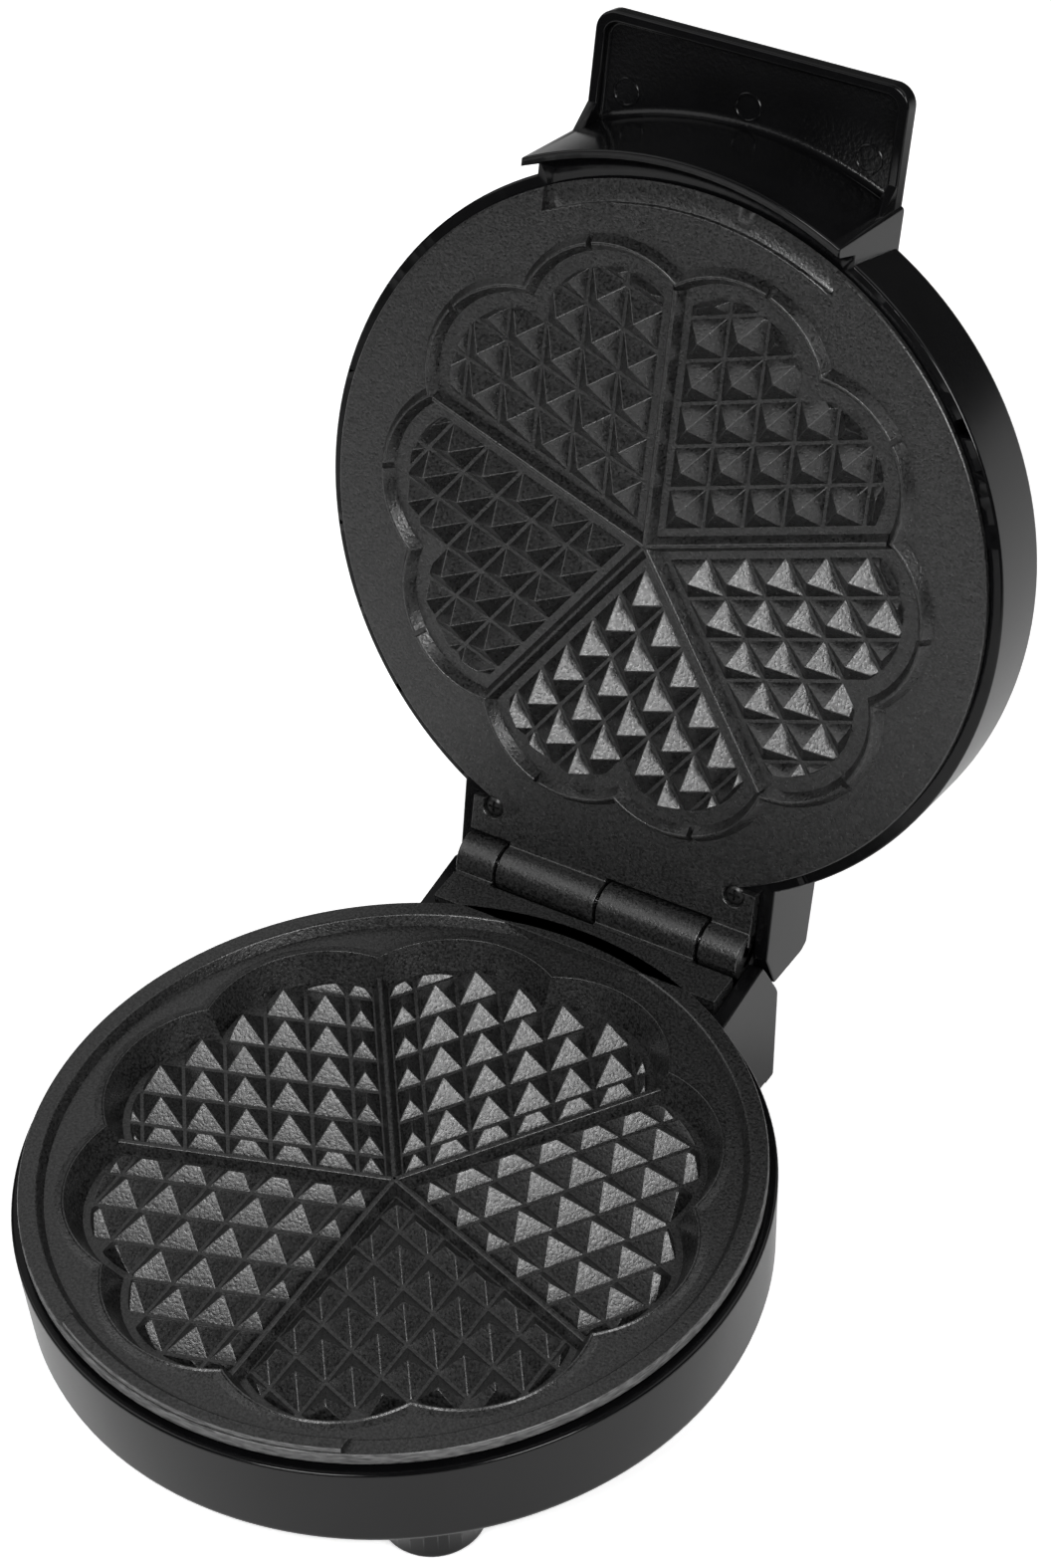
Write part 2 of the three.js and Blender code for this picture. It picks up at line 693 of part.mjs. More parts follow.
function baseShellSolid() {
  const outside = prismAlongX(towerOutline(), [-towerHalfWidth, towerHalfWidth]);
  const insideWidth = towerHalfWidth - base.wall;
  const inside = prismAlongX(drawnIn(towerOutline(), base.wall), [-insideWidth, insideWidth]);
  const padTop = padSize.height - lipHeight;
  const posts = onPosts((at) =>
    cylinder(base.postRadius, [padTop - padSize.sink, base.floorUnder + overrun], at));
  const postSinks = onPosts((at) => cylinder(padSize.radius + fitGap, [-lipHeight - overrun, padTop], at));
  const wireRoom = box([-blockSize.width / 2, blockSize.width / 2],
    [towerFront - base.wall - overrun, baseFootRadius + overrun],
    [base.floorUnder + base.wall, base.rimTop - base.ledgeDepth - base.wall]);
  const ledgeSpan = [base.rimTop - base.ledgeDepth - overrun, base.rimTop + overrun];
  const ledge = cylinder(ledgeRadius, ledgeSpan, [0, 0], shellSides);
  const shell = join([baseBowl(0), outside, ...posts])
    .subtract(join([baseBowl(base.wall), inside, wireRoom, ledge, ...postSinks]));
  const screwTop = -dishDepth - 2 * lower.wall - fitGap;
  const under = base.floorUnder - overrun;
  const bosses = onPlateScrews((at) =>
    cylinder(plateScrew.bossRadius, [base.floorUnder + overrun, screwTop], at));
  const bores = onPlateScrews((at) =>
    cylinder(plateScrew.shank + fitGap, [under, screwTop + overrun], at, screwSides));
  const heads = onPlateScrews((at) =>
    cylinder(plateScrew.head + fitGap, [under, plateScrewSeat()], at, screwSides));
  const glandSpan = [towerFootBack - base.glandWall, towerBack[0] + overrun];
  const gland = cylinderAlongY(glandSize.tube + fitGap, glandSpan, [0, glandSize.rise - lipHeight]);
  const stepWidth = towerHalfWidth + overrun;
  const step = box([-stepWidth, stepWidth], [0, towerFootBack - tower.ribWidth],
    [-lipHeight - overrun, tower.ribDepth - lipHeight]);
  return shell.add(join(bosses)).subtract(join([...bores, ...heads, gland, step, hingeClearance(true)]));
}

// Where the heads of the long screws bear in the base's bosses.
function plateScrewSeat() {
  return base.floorUnder + base.wall + plateScrew.sink;
}

// Room for the barrels and the plate's tab between a housing's two cheeks.
function hingeClearance(below) {
  const half = hinge.tabHalfWidth + hinge.cheekGap;
  const barrel = cylinderAlongX(houseRadius, [-half, half], [hingeY, hingeRise]);
  const foot = below ? lower.ringTop - hinge.tabThickness - fitGap : upper.face - overrun;
  const top = below ? hingeRise + houseRadius : upper.face + upper.thickness + fitGap;
  return barrel.add(box([-half, half], [ringInnerFoot - overrun, hingeY], [foot, top]));
}

function onPosts(make) {
  return [-1, 1].map((side) => make([side * base.postX, base.postY]));
}

function plateScrews() {
  const seat = plateScrewSeat();
  const head = [seat - fitGap - plateScrew.headHeight, seat - fitGap];
  const shank = [seat - overrun, -dishDepth - 2 * fitGap];
  return onPlateScrews((at) => cylinder(plateScrew.shank, shank, at, screwSides)
    .add(cylinder(plateScrew.head, head, at, screwSides)));
}

function thermostatSolid(back) {
  const top = back - fitGap;
  const neck = shieldTop(back) + fitGap;
  const foot = shieldTop(back) - thermostatSize.bodyHeight;
  const bladeX = thermostatSize.neckRadius / 2;
  const half = { x: thermostatSize.blade / 2, y: thermostatSize.bladeWidth / 2 };
  const blades = [-bladeX, bladeX].map((x) =>
    box([x - half.x, x + half.x], [-half.y, half.y], [foot - thermostatSize.bladeWidth, foot + overrun]));
  return join([
    cylinder(thermostatSize.capRadius, [neck, top], [0, 0]),
    cylinder(thermostatSize.neckRadius, [foot, neck + overrun], [0, 0]),
    ...blades,
  ]);
}

// The one-shot fuse lies along X under the heat shield, in a strap.
function fusePlace(back) {
  return [fuseSize.y, shieldTop(back) - shield.sheet - fitGap - fuseSize.radius];
}

function fuseSolid(back) {
  const half = fuseSize.length / 2;
  return cylinderAlongX(fuseSize.radius, [-half, half], fusePlace(back), screwSides);
}

function fuseClipSolid(back) {
  const [y, z] = fusePlace(back);
  const half = fuseSize.clipWidth / 2;
  const inner = fuseSize.radius + fitGap;
  const outer = inner + fuseSize.clipSheet;
  const top = z + fuseSize.radius;
  const saddle = cylinderAlongX(outer, [-half, half], [y, z], screwSides)
    .add(box([-half, half], [y - outer, y + outer], [z, top]))
    .add(box([-half, half], [y - 2 * outer, y + 2 * outer], [top - fuseSize.clipSheet, top]));
  const bore = cylinderAlongX(inner, [-half - overrun, half + overrun], [y, z], screwSides);
  const mouth = box([-half - overrun, half + overrun], [y - inner, y + inner], [z, top + outer]);
  return saddle.subtract(bore.add(mouth));
}

function terminalBlockSolid() {
  const foot = base.floorUnder + base.wall + fitGap;
  const half = blockSize.width / 2;
  const back = towerFront - blockSize.inset;
  const span = [back - blockSize.depth, back];
  const middle = { y: (span[0] + span[1]) / 2, z: foot + blockSize.height / 2 };
  const body = box([-half, half], span, [foot, foot + blockSize.height]);
  const through = [span[0] - overrun, span[1] + overrun];
  const ways = terminalShares.map((share) =>
    cylinderAlongY(blockSize.wayRadius, through, [share * half, middle.z], screwSides));
  const grubSpan = [middle.z, foot + blockSize.height + overrun];
  const grubs = terminalShares.map((share) =>
    cylinder(blockSize.wayRadius - fitGap, grubSpan, [share * half, middle.y], screwSides));
  return body.subtract(join([...ways, ...grubs]));
}

function glandSolid() {
  const z = glandSize.rise - lipHeight;
  const lean = (towerBack[0] - towerFootBack) / (towerBack[1] + lipHeight);
  const outside = towerFootBack + glandSize.rise * lean;
  const flangeFrom = outside + fitGap + overrun;
  const flangeTo = flangeFrom + glandSize.flangeThickness;
  const tube = cylinderAlongY(glandSize.tube, [outside - glandSize.length, flangeFrom], [0, z]);
  const flange = cylinderAlongY(glandSize.flange, [flangeFrom, flangeTo], [0, z]);
  const through = [outside - glandSize.length - overrun, flangeTo + overrun];
  const bore = cylinderAlongY(glandSize.bore, through, [0, z]);
  return tube.add(flange).subtract(bore);
}

// Saddle inside the tower that grips the cord, with its two screws.
function clampFoot() {
  return base.wall + fitGap - lipHeight;
}

function clampSolid() {
  const foot = clampFoot();
  const half = clampSize.width / 2;
  const y = hingeY - clampSize.inset;
  const span = [y - clampSize.depth / 2, y + clampSize.depth / 2];
  const top = foot + clampSize.height + clampSize.saddle;
  const bar = box([-half, half], span, [foot, top]);
  const through = [span[0] - overrun, span[1] + overrun];
  const way = cylinderAlongY(clampSize.cordRadius, through, [0, foot + clampSize.saddle]);
  const bores = onClampScrews((at) =>
    cylinder(smallScrew.shank + fitGap, [foot - overrun, top + overrun], at, screwSides));
  return bar.subtract(join([way, ...bores]));
}

function onClampScrews(make) {
  const x = clampSize.width / 2 - smallScrew.head;
  return [-x, x].map((place) => make([place, hingeY - clampSize.inset]));
}

function clampScrews() {
  const seat = clampFoot() + clampSize.height + clampSize.saddle + fitGap;
  return onClampScrews((at) => cylinder(smallScrew.shank, [clampFoot(), seat + overrun], at, screwSides)
    .add(cylinder(smallScrew.head, [seat, seat + smallScrew.headHeight], at, screwSides)));
}

function padSolid(side) {
  const span = [-lipHeight, padSize.height - fitGap - lipHeight];
  return cylinder(padSize.radius, span, [side * base.postX, base.postY]);
}

function pinSolid() {
  const half = hinge.tabHalfWidth;
  return cylinderAlongX(hinge.pinRadius, [-half, half], [hingeY, hingeRise]);
}

// Where the lid's block meets the tower when the lid stands open: a point of the tower's
// upper back slope, turned back with the lid about the hinge axis and set off by the gap.
function stopCorner() {
  const y = towerCorner[0] + stopShare * (towerBack[0] - towerCorner[0]) + fitGap - hingeY;
  const z = towerCorner[1] + stopShare * (towerBack[1] - towerCorner[1]) - hingeRise;
  const closed = new THREE.Vector2(y, z).rotateAround(new THREE.Vector2(), openAngle);
  return [hingeY + closed.x, hingeRise + closed.y];
}

function lidBlockOutline() {
  const front = hingeY - lidBlock.depth;
  const back = hingeY + lidBlock.backReach;
  return [
    [front, lid.rimFoot],
    [Math.sqrt(lidRimRadius ** 2 - blockHalfWidth ** 2), lid.rimFoot],
    [hingeY + lidBlock.cornerReach, lidBlock.cornerZ],
    stopCorner(),
    [back, lidBlock.backZ],
    [back - lid.edgeChamfer, lid.top],
    [front, lid.top],
  ];
}

function lidBowl(wall) {
  const foot = wall ? lid.rimFoot + lid.wall : lid.rimFoot;
  const top = lid.top - wall;
  const chamfer = lid.edgeChamfer;
  return turned([
    [0, foot],
    [lidRimRadius - wall, foot],
    [lidTopRadius - wall, top - chamfer],
    [lidTopRadius - wall / 2 - chamfer, top],
    [0, top],
  ]);
}

function bumpSolid(wall) {
  const foot = wall ? lid.rimFoot + lid.wall : lid.apronFoot;
  const half = lid.bumpHalfWidth - wall;
  const whole = turned([
    [0, foot],
    [bumpFootRadius - wall, foot],
    [bumpTopRadius - wall, lid.top - wall],
    [0, lid.top - wall],
  ]);
  const front = box([-half, half], [-2 * plateRadius, -lobeDistance], [foot - overrun, lid.top + overrun]);
  return whole.intersect(front);
}

// The space inside the apron, where the base's rim stands when the lid is shut.
function underApron() {
  const lean = (apronFootInner - apronRimInner) / (lid.rimFoot - lid.apronFoot);
  return turned([
    [0, lid.apronFoot - overrun],
    [apronFootInner + lean * overrun, lid.apronFoot - overrun],
    [apronRimInner, lid.rimFoot],
    [0, lid.rimFoot],
  ]);
}

function trayOutline(halfWidth, front, corner) {
  const shape = new THREE.Shape();
  shape.moveTo(-halfWidth, -lobeDistance);
  shape.lineTo(-halfWidth, corner - front);
  shape.absarc(corner - halfWidth, corner - front, corner, Math.PI, (3 * Math.PI) / 2);
  shape.lineTo(halfWidth - corner, -front);
  shape.absarc(halfWidth - corner, corner - front, corner, (3 * Math.PI) / 2, 2 * Math.PI);
  shape.lineTo(halfWidth, -lobeDistance);
  shape.closePath();
  return shape;
}

function traySolid() {
  const outline = trayOutline(trayHalfWidth, trayFront, tray.corner);
  const hollow = trayOutline(trayHalfWidth - tray.wall, trayFront - tray.wall, tray.corner - tray.wall / 2);
  const plate = prismUp(outline, [tray.foot, lid.top], cornerSteps);
  const pocket = prismUp(hollow, [tray.foot - overrun, tray.floor], cornerSteps);
  const run = tray.foot - tray.gussetFoot;
  const gusset = [
    [-gussetReach, tray.foot],
    [-gussetReach + run, tray.gussetFoot],
    [-lobeDistance, tray.gussetFoot],
    [-lobeDistance, tray.foot + overrun],
    [-gussetReach, tray.foot + overrun],
  ];
  const inner = trayHalfWidth - tray.wall;
  const walls = [[-trayHalfWidth, -inner], [inner, trayHalfWidth]].map((span) => prismAlongX(gusset, span));
  return plate.subtract(pocket).add(join(walls));
}

function lidShellSolid() {
  const block = prismAlongX(lidBlockOutline(), [-blockHalfWidth, blockHalfWidth]);
  const insideWidth = blockHalfWidth - lid.wall;
  const blockInside = prismAlongX(drawnIn(lidBlockOutline(), lid.wall), [-insideWidth, insideWidth]);
  const ledgeSpan = [lid.rimFoot - overrun, lid.rimFoot + lid.wall + overrun];
  const ledge = cylinder(ledgeRadius, ledgeSpan, [0, 0], shellSides);
  const outside = join([lidBowl(0), bumpSolid(0), traySolid(), block]).subtract(underApron());
  const hollow = join([lidBowl(lid.wall), bumpSolid(lid.wall), blockInside, ledge]);
  const bossFoot = upper.face + upper.thickness + fitGap;
  const bosses = onTabScrews((at) => cylinder(plateScrew.bossRadius, [bossFoot, lid.top - overrun], at));
  const boreSpan = [bossFoot - overrun, upper.face + tabScrew.length + overrun];
  const bores = onTabScrews((at) => cylinder(tabScrew.shank + fitGap, boreSpan, at, screwSides));
  const lensSpan = [lid.top - lid.wall - overrun, lid.top + overrun];
  const lenses = onLamps((at) => cylinder(lampSize.lensRadius + fitGap, lensSpan, at, screwSides));
  return outside.subtract(hollow).subtract(hingeClearance(false)).add(join(bosses))
    .subtract(join([...bores, ...lenses]));
}

function tabScrews() {
  const seat = upper.face + tabScrew.sink - fitGap;
  const head = [seat - tabScrew.headHeight, seat];
  const shank = [seat - overrun, upper.face + tabScrew.length];
  return onTabScrews((at) => cylinder(tabScrew.head, head, at, screwSides)
    .add(cylinder(tabScrew.shank, shank, at, screwSides)));
}

// Two lamps on a small bracket under the lid's top, each below its own lens.
function onLamps(make) {
  return [-1, 1].map((side) => make([side * lampSize.x, lampSize.y]));
}

function lampFoot() {
  return lid.top - lid.wall - fitGap - lampSize.height;
}

function lampSolid(side) {
  const span = [lampFoot(), lampFoot() + lampSize.height - fitGap];
  return cylinder(lampSize.radius, span, [side * lampSize.x, lampSize.y], screwSides);
}

function lensSolid(side) {
  const at = [side * lampSize.x, lampSize.y];
  const radius = lampSize.lensRadius;
  return cylinder(radius, [lid.top - lid.wall, lid.top], at, screwSides)
    .add(stump(radius, radius / 2, [lid.top, lid.top + lampSize.lensRise], at, screwSides));
}

function lampBoardSolid() {
  const half = lampSize.x + lampSize.height / 2;
  const leg = half - lampSize.board;
  const foot = lampFoot() - fitGap - lampSize.board;
  const depth = [lampSize.y - lampSize.height / 2, lampSize.y + lampSize.height / 2];
  const board = box([-half, half], depth, [foot, foot + lampSize.board]);
  const legs = [[-half, -leg], [leg, half]].map((span) =>
    box(span, depth, [foot, lid.top - lid.wall - fitGap]));
  return board.add(join(legs));
}

function addMesh(parent, name, solid, colour, roughness, metalness) {
  const material = new THREE.MeshStandardMaterial({ color: colour, roughness, metalness });
  const mesh = new THREE.Mesh(geometryOf(solid), material);
  mesh.name = name;
  parent.add(mesh);
}

// Copies of one fastener, numbered from 1.
function addCopies(parent, name, solids, ...finish) {
  solids.forEach((solid, i) => addMesh(parent, `${name}_${i + 1}`, solid, ...finish));
}

const glossBlack = [0x0b0b0c, 0.18, 0];
const coated = [0x2a2a2b, 0.55, 0.2];
const steel = [0xb4b6b8, 0.35, 1];
const sheetSteel = [0x9a9c9e, 0.5, 1];
const rubber = [0x141414, 0.9, 0];
const lowerBack = -dishDepth - lower.wall;
const upperBack = -upper.thickness;

const group = new THREE.Group();

// Everything that stays on the table.
const baseGroup = new THREE.Group();
baseGroup.position.z = lipHeight;
group.add(baseGroup);
addMesh(baseGroup, "base_shell", baseShellSolid(), ...glossBlack);
addMesh(baseGroup, "lower_plate", lowerPlateSolid(), ...coated);
addCopies(baseGroup, "lower_plate_screw", plateScrews(), ...steel);
addMesh(baseGroup, "lower_heater", heaterSolid(lowerBack), ...sheetSteel);
const lowerShield = shieldSolid(lowerBack, thermostatSize.neckRadius + fitGap);
addMesh(baseGroup, "lower_heat_shield", lowerShield, ...sheetSteel);
addCopies(baseGroup, "lower_shield_screw", shieldScrews(lowerBack), ...steel);
addMesh(baseGroup, "thermostat", thermostatSolid(lowerBack), 0x2b1a12, 0.6, 0);
addMesh(baseGroup, "thermal_fuse", fuseSolid(lowerBack), 0xd9d2c0, 0.5, 0);
addMesh(baseGroup, "fuse_clip", fuseClipSolid(lowerBack), ...sheetSteel);
addMesh(baseGroup, "terminal_block", terminalBlockSolid(), 0xe6e2d6, 0.6, 0);
addMesh(baseGroup, "cord_gland", glandSolid(), ...rubber);
addMesh(baseGroup, "cord_clamp", clampSolid(), ...glossBlack);
addCopies(baseGroup, "cord_clamp_screw", clampScrews(), ...steel);
addMesh(baseGroup, "foot_pad_left", padSolid(-1), ...rubber);
addMesh(baseGroup, "foot_pad_right", padSolid(1), ...rubber);
addMesh(baseGroup, "hinge_pin", pinSolid(), ...steel);

// The lid turns about the hinge axis, and its pieces are placed as in the closed lid.
const hingeGroup = new THREE.Group();
hingeGroup.position.set(0, hingeY, hingeRise);
hingeGroup.rotation.x = -openAngle;
baseGroup.add(hingeGroup);
const lidGroup = new THREE.Group();
lidGroup.position.set(0, -hingeY, -hingeRise);
hingeGroup.add(lidGroup);
addMesh(lidGroup, "lid_shell", lidShellSolid(), ...glossBlack);
addCopies(lidGroup, "upper_tab_screw", tabScrews(), ...steel);
addMesh(lidGroup, "lamp_board", lampBoardSolid(), ...rubber);
addMesh(lidGroup, "power_lamp", lampSolid(-1), 0xf0a070, 0.2, 0);
addMesh(lidGroup, "ready_lamp", lampSolid(1), 0x90e0a0, 0.2, 0);
addMesh(lidGroup, "power_lens", lensSolid(-1), 0xb01810, 0.2, 0);
addMesh(lidGroup, "ready_lens", lensSolid(1), 0x108030, 0.2, 0);

// The upper plate and what is clamped behind it hang face down.
const upperGroup = new THREE.Group();
upperGroup.position.z = upper.face;
upperGroup.rotation.y = Math.PI;
lidGroup.add(upperGroup);
addMesh(upperGroup, "upper_plate", upperPlateSolid(), ...coated);
addMesh(upperGroup, "upper_heater", heaterSolid(upperBack), ...sheetSteel);
addMesh(upperGroup, "upper_heat_shield", shieldSolid(upperBack, thermostatSize.neckRadius), ...sheetSteel);
addCopies(upperGroup, "upper_shield_screw", shieldScrews(upperBack), ...steel);

// The origin goes under the middle of the open appliance.
group.updateMatrixWorld(true);
const room = new THREE.Box3().setFromObject(group, true).getCenter(new THREE.Vector3());
baseGroup.position.y = -room.y;

export default group;
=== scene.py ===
# Waffle maker with two heart-flower plates, standing open.
# The pieces follow one another as they are put together on the table, from the lower
# housing up to the lid. Sizes are in millimetres, measured from the middle of the lower
# plate at the height of the lip round its flower; the lid's pieces are measured as in the
# closed lid and then turned up with it.

import math

import bmesh
import bpy
from mathutils import Matrix, Vector


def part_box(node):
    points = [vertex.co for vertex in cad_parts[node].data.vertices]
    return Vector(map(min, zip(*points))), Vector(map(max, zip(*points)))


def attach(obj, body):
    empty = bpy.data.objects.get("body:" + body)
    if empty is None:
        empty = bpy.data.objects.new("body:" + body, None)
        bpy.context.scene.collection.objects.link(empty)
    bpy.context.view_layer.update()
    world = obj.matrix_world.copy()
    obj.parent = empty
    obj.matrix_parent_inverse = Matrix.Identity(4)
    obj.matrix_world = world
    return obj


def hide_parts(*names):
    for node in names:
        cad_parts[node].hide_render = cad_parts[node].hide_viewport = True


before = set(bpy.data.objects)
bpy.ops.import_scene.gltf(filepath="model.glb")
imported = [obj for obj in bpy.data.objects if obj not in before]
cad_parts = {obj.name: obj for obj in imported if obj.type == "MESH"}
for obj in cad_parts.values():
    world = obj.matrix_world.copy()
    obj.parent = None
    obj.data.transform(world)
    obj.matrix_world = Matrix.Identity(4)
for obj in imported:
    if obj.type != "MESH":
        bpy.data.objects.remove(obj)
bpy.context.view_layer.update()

mm = 0.001
plate_radius = 103.5
lip_height = 47.0
plate_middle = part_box("lower_plate")[0].y / mm + plate_radius


def placed(x, y, z):
    """A point of the appliance, from millimetres to the row frame."""
    return Vector((x, y + plate_middle, z + lip_height)) * mm


origin = placed(0, 0, 0)

# Studio
# The camera stands at the photograph's angle. A pale floor and a white surround give the
# black shells their even sheen. Two soft lamps near the camera light the pyramids, and three
# weaker ones round the appliance fill in the other faces.

camera_turn = math.radians(34.23)
camera_rise = math.radians(41.33)
camera_roll = math.radians(-4.15)
camera_distance = 1.11455
camera_right = 0.03650
camera_up = 0.10493
camera_sensor = 36
camera_lens = 138.59
lamp_distance = 1.5
lamp_target = (0, 40, 60)
surround_strength = 0.05
floor_size = 12
floor_colour = (0.93, 0.93, 0.93, 1)
floor_glow_strength = 0.6
white = (1, 1, 1, 1)

toward_camera = Vector((
    math.sin(camera_turn) * math.cos(camera_rise),
    -math.cos(camera_turn) * math.cos(camera_rise),
    math.sin(camera_rise)))
level_right = Vector((math.cos(camera_turn), math.sin(camera_turn), 0))
level_up = toward_camera.cross(level_right)
picture_right = level_right * math.cos(camera_roll) + level_up * math.sin(camera_roll)
picture_up = level_up * math.cos(camera_roll) - level_right * math.sin(camera_roll)
camera_stand = (origin + toward_camera * camera_distance
                + picture_right * camera_right + picture_up * camera_up)
camera_axes = Matrix((picture_right, picture_up, toward_camera)).transposed()

bpy.ops.object.camera_add(location=camera_stand, rotation=camera_axes.to_euler())
camera = bpy.context.object
camera.name = "camera"
camera.data.sensor_fit = "HORIZONTAL"
camera.data.sensor_width = camera_sensor
camera.data.lens = camera_lens
bpy.context.scene.camera = camera
bpy.context.scene.view_settings.view_transform = "Standard"


def soft_lamp(name, turn, rise, size, power):
    """A square soft box that looks at the middle of the appliance."""
    turn = math.radians(turn)
    rise = math.radians(rise)
    target = placed(*lamp_target)
    direction = Vector((
        math.sin(turn) * math.cos(rise),
        -math.cos(turn) * math.cos(rise),
        math.sin(rise)))
    facing = direction.to_track_quat("Z", "Y").to_euler()
    bpy.ops.object.light_add(
        type="AREA", location=target + direction * lamp_distance, rotation=facing)
    lamp = bpy.context.object
    lamp.name = name
    lamp.data.shape = "SQUARE"
    lamp.data.size = size
    lamp.data.energy = power


soft_lamp("lamp_right", 66, 40, 0.5, 11)
soft_lamp("lamp_left", 2, 44, 0.5, 11)
soft_lamp("fill_left", -70, 45, 1.2, 6)
soft_lamp("fill_right", 146, 45, 1.2, 5)
soft_lamp("fill_back", 215, 45, 1.2, 2)


def set_inputs(node, values):
    """Sets a node's inputs, given by name or number."""
    for socket, value in values.items():
        node.inputs[socket].default_value = value


def add_node(tree, kind, values):
    """A new node in a tree, with its inputs set."""
    node = tree.nodes.new("ShaderNode" + kind)
    set_inputs(node, values)
    return node


def link(node, output, other, socket):
    """Joins one node's output to another's input, in the tree that holds them."""
    node.id_data.links.new(node.outputs[output], other.inputs[socket])


world = bpy.data.worlds.new("white_surround")
world.use_nodes = True
bpy.context.scene.world = world
world_tree = world.node_tree
surround = world_tree.nodes["Background"]
set_inputs(surround, {"Color": white, "Strength": surround_strength})
white_view = add_node(world_tree, "Background", {"Color": white, "Strength": 1})
seen = add_node(world_tree, "LightPath", {})
choice = add_node(world_tree, "MixShader", {})
link(seen, "Is Camera Ray", choice, "Fac")
link(surround, "Background", choice, 1)
link(white_view, "Background", choice, 2)
link(choice, "Shader", world_tree.nodes["World Output"], "Surface")

bpy.ops.mesh.primitive_plane_add(size=floor_size, location=(0, 0, 0))
floor = bpy.context.object
floor.name = "floor"
floor_paint = bpy.data.materials.new("pale_floor")
floor_paint.use_nodes = True
floor_tree = floor_paint.node_tree
floor_shader = floor_tree.nodes["Principled BSDF"]
set_inputs(floor_shader, {"Base Color": floor_colour, "Roughness": 0.7, "Specular IOR Level": 0})
floor_glow = add_node(floor_tree, "Emission", {"Color": white})
floor_seen = add_node(floor_tree, "LightPath", {})
glow_strength = add_node(floor_tree, "Math", {1: floor_glow_strength})
glow_strength.operation = "MULTIPLY"
floor_sum = add_node(floor_tree, "AddShader", {})
link(floor_seen, "Is Camera Ray", glow_strength, 0)
link(glow_strength, "Value", floor_glow, "Strength")
link(floor_shader, "BSDF", floor_sum, 0)
link(floor_glow, "Emission", floor_sum, 1)
link(floor_sum, "Shader", floor_tree.nodes["Material Output"], "Surface")
floor.data.materials.append(floor_paint)

# Lower housing
# One moulding of glossy black plastic: a round bowl that carries the plate, a tower at
# the back that holds the hinge between two cheeks, and two round front posts.

housing_rim_radius = 106.0
housing_rim_top = -3.1
housing_ledge_radius = 101.8
housing_ledge_depth = 3.0
housing_foot_radius = 104.7
housing_underside = -33.0
housing_wall = 2.4
housing_rim_round = 0.9
housing_foot_round = 3.2
tower_half_width = 52.3
tower_front = 88.0
tower_corner = (116.0, 0.5)
tower_back = (124.3, -15.6)
tower_foot_back = 120.6
tower_rib_width = 4.5
tower_rib_depth = 1.0
post_radius = 14.6
post_round = 2.4
post_x = 53.0
post_y = -68.0
post_foot = -46.0
pad_radius = 9.5
pad_top = -44.8
gland_rise = 11.0
gland_bore = 6.4
hinge_y = 115.2
hinge_rise = 3.5
cheek_half_width = 47.9
barrel_room_radius = 8.2
tab_room_front = 95.5
tab_room_floor = -4.1
shell_colour = (0.003, 0.003, 0.0033)


def pick(*pieces):
    """Selects pieces, the first of them as the active one."""
    bpy.ops.object.select_all(action="DESELECT")
    for piece in pieces:
        piece.select_set(True)
    bpy.context.view_layer.objects.active = pieces[0]


def apply_place():
    """Works the picked piece's place, turn and size into its mesh."""
    bpy.ops.object.transform_apply(location=True, rotation=True, scale=True)


def edit_mode(on=True):
    bpy.ops.object.mode_set(mode="EDIT" if on else "OBJECT")


def edit_all(action="SELECT"):
    """Selects, or lets go of, everything that is being edited."""
    bpy.ops.mesh.select_all(action=action)


def merge_doubles(gap=0.002):
    """Merges the vertices that lie closer together than the gap."""
    edit_all()
    bpy.ops.mesh.remove_doubles(threshold=gap * mm)


def draw_line(name, points):
    """A new object in edit mode: one vertex, extruded from point to point."""
    bpy.ops.mesh.primitive_plane_add(size=mm, location=points[0])
    apply_place()
    piece = bpy.context.object
    piece.name = name
    piece.data.name = name
    edit_mode()
    bpy.ops.mesh.select_mode(type="VERT")
    bpy.ops.mesh.merge(type="CENTER")
    for here, there in zip(points, points[1:]):
        bpy.ops.mesh.extrude_region_move(TRANSFORM_OT_translate={"value": there - here})
    return piece


def edge_middle(edge):
    return (edge.verts[0].co + edge.verts[1].co) / 2


def select_where(piece, is_wanted, kind="verts"):
    """Selects the vertices or edges whose middle meets the condition."""
    bpy.ops.mesh.select_mode(type={"verts": "VERT", "edges": "EDGE"}[kind])
    edit_all("DESELECT")
    mesh = bmesh.from_edit_mesh(piece.data)
    for element in getattr(mesh, kind):
        middle = element.co if kind == "verts" else edge_middle(element)
        if is_wanted(middle):
            element.select_set(True)
    mesh.select_flush_mode()
    bmesh.update_edit_mesh(piece.data)


def round_corners(piece, corners, steps=4):
    """Rounds drawn corners, each given as its point and its size along the line."""
    for point, size in corners:
        select_where(piece, lambda place: (place - point).length < 0.01 * mm)
        bpy.ops.mesh.bevel(
            affect="VERTICES", offset=size * mm, segments=steps, clamp_overlap=False)


def weld(piece, gap=0.002):
    """Merges doubled vertices and turns all faces outwards."""
    bpy.ops.mesh.select_mode(type="VERT")
    merge_doubles(gap)
    bpy.ops.mesh.normals_make_consistent(inside=False)
    edit_mode(False)


def turned(name, profile, rounds=(), centre=(0, 0), steps=180, corner_steps=4):
    """A profile of (radius, height) points turned about an upright axis. Each round is
    the number of a profile point and the size of its rounding."""
    points = [placed(centre[0] + radius, centre[1], height) for radius, height in profile]
    piece = draw_line(name, points)
    round_corners(piece, [(points[index], size) for index, size in rounds], corner_steps)
    edit_all()
    bpy.ops.mesh.spin(
        steps=steps, angle=2 * math.pi, center=placed(*centre, 0), axis=(0, 0, 1))
    weld(piece)
    return piece


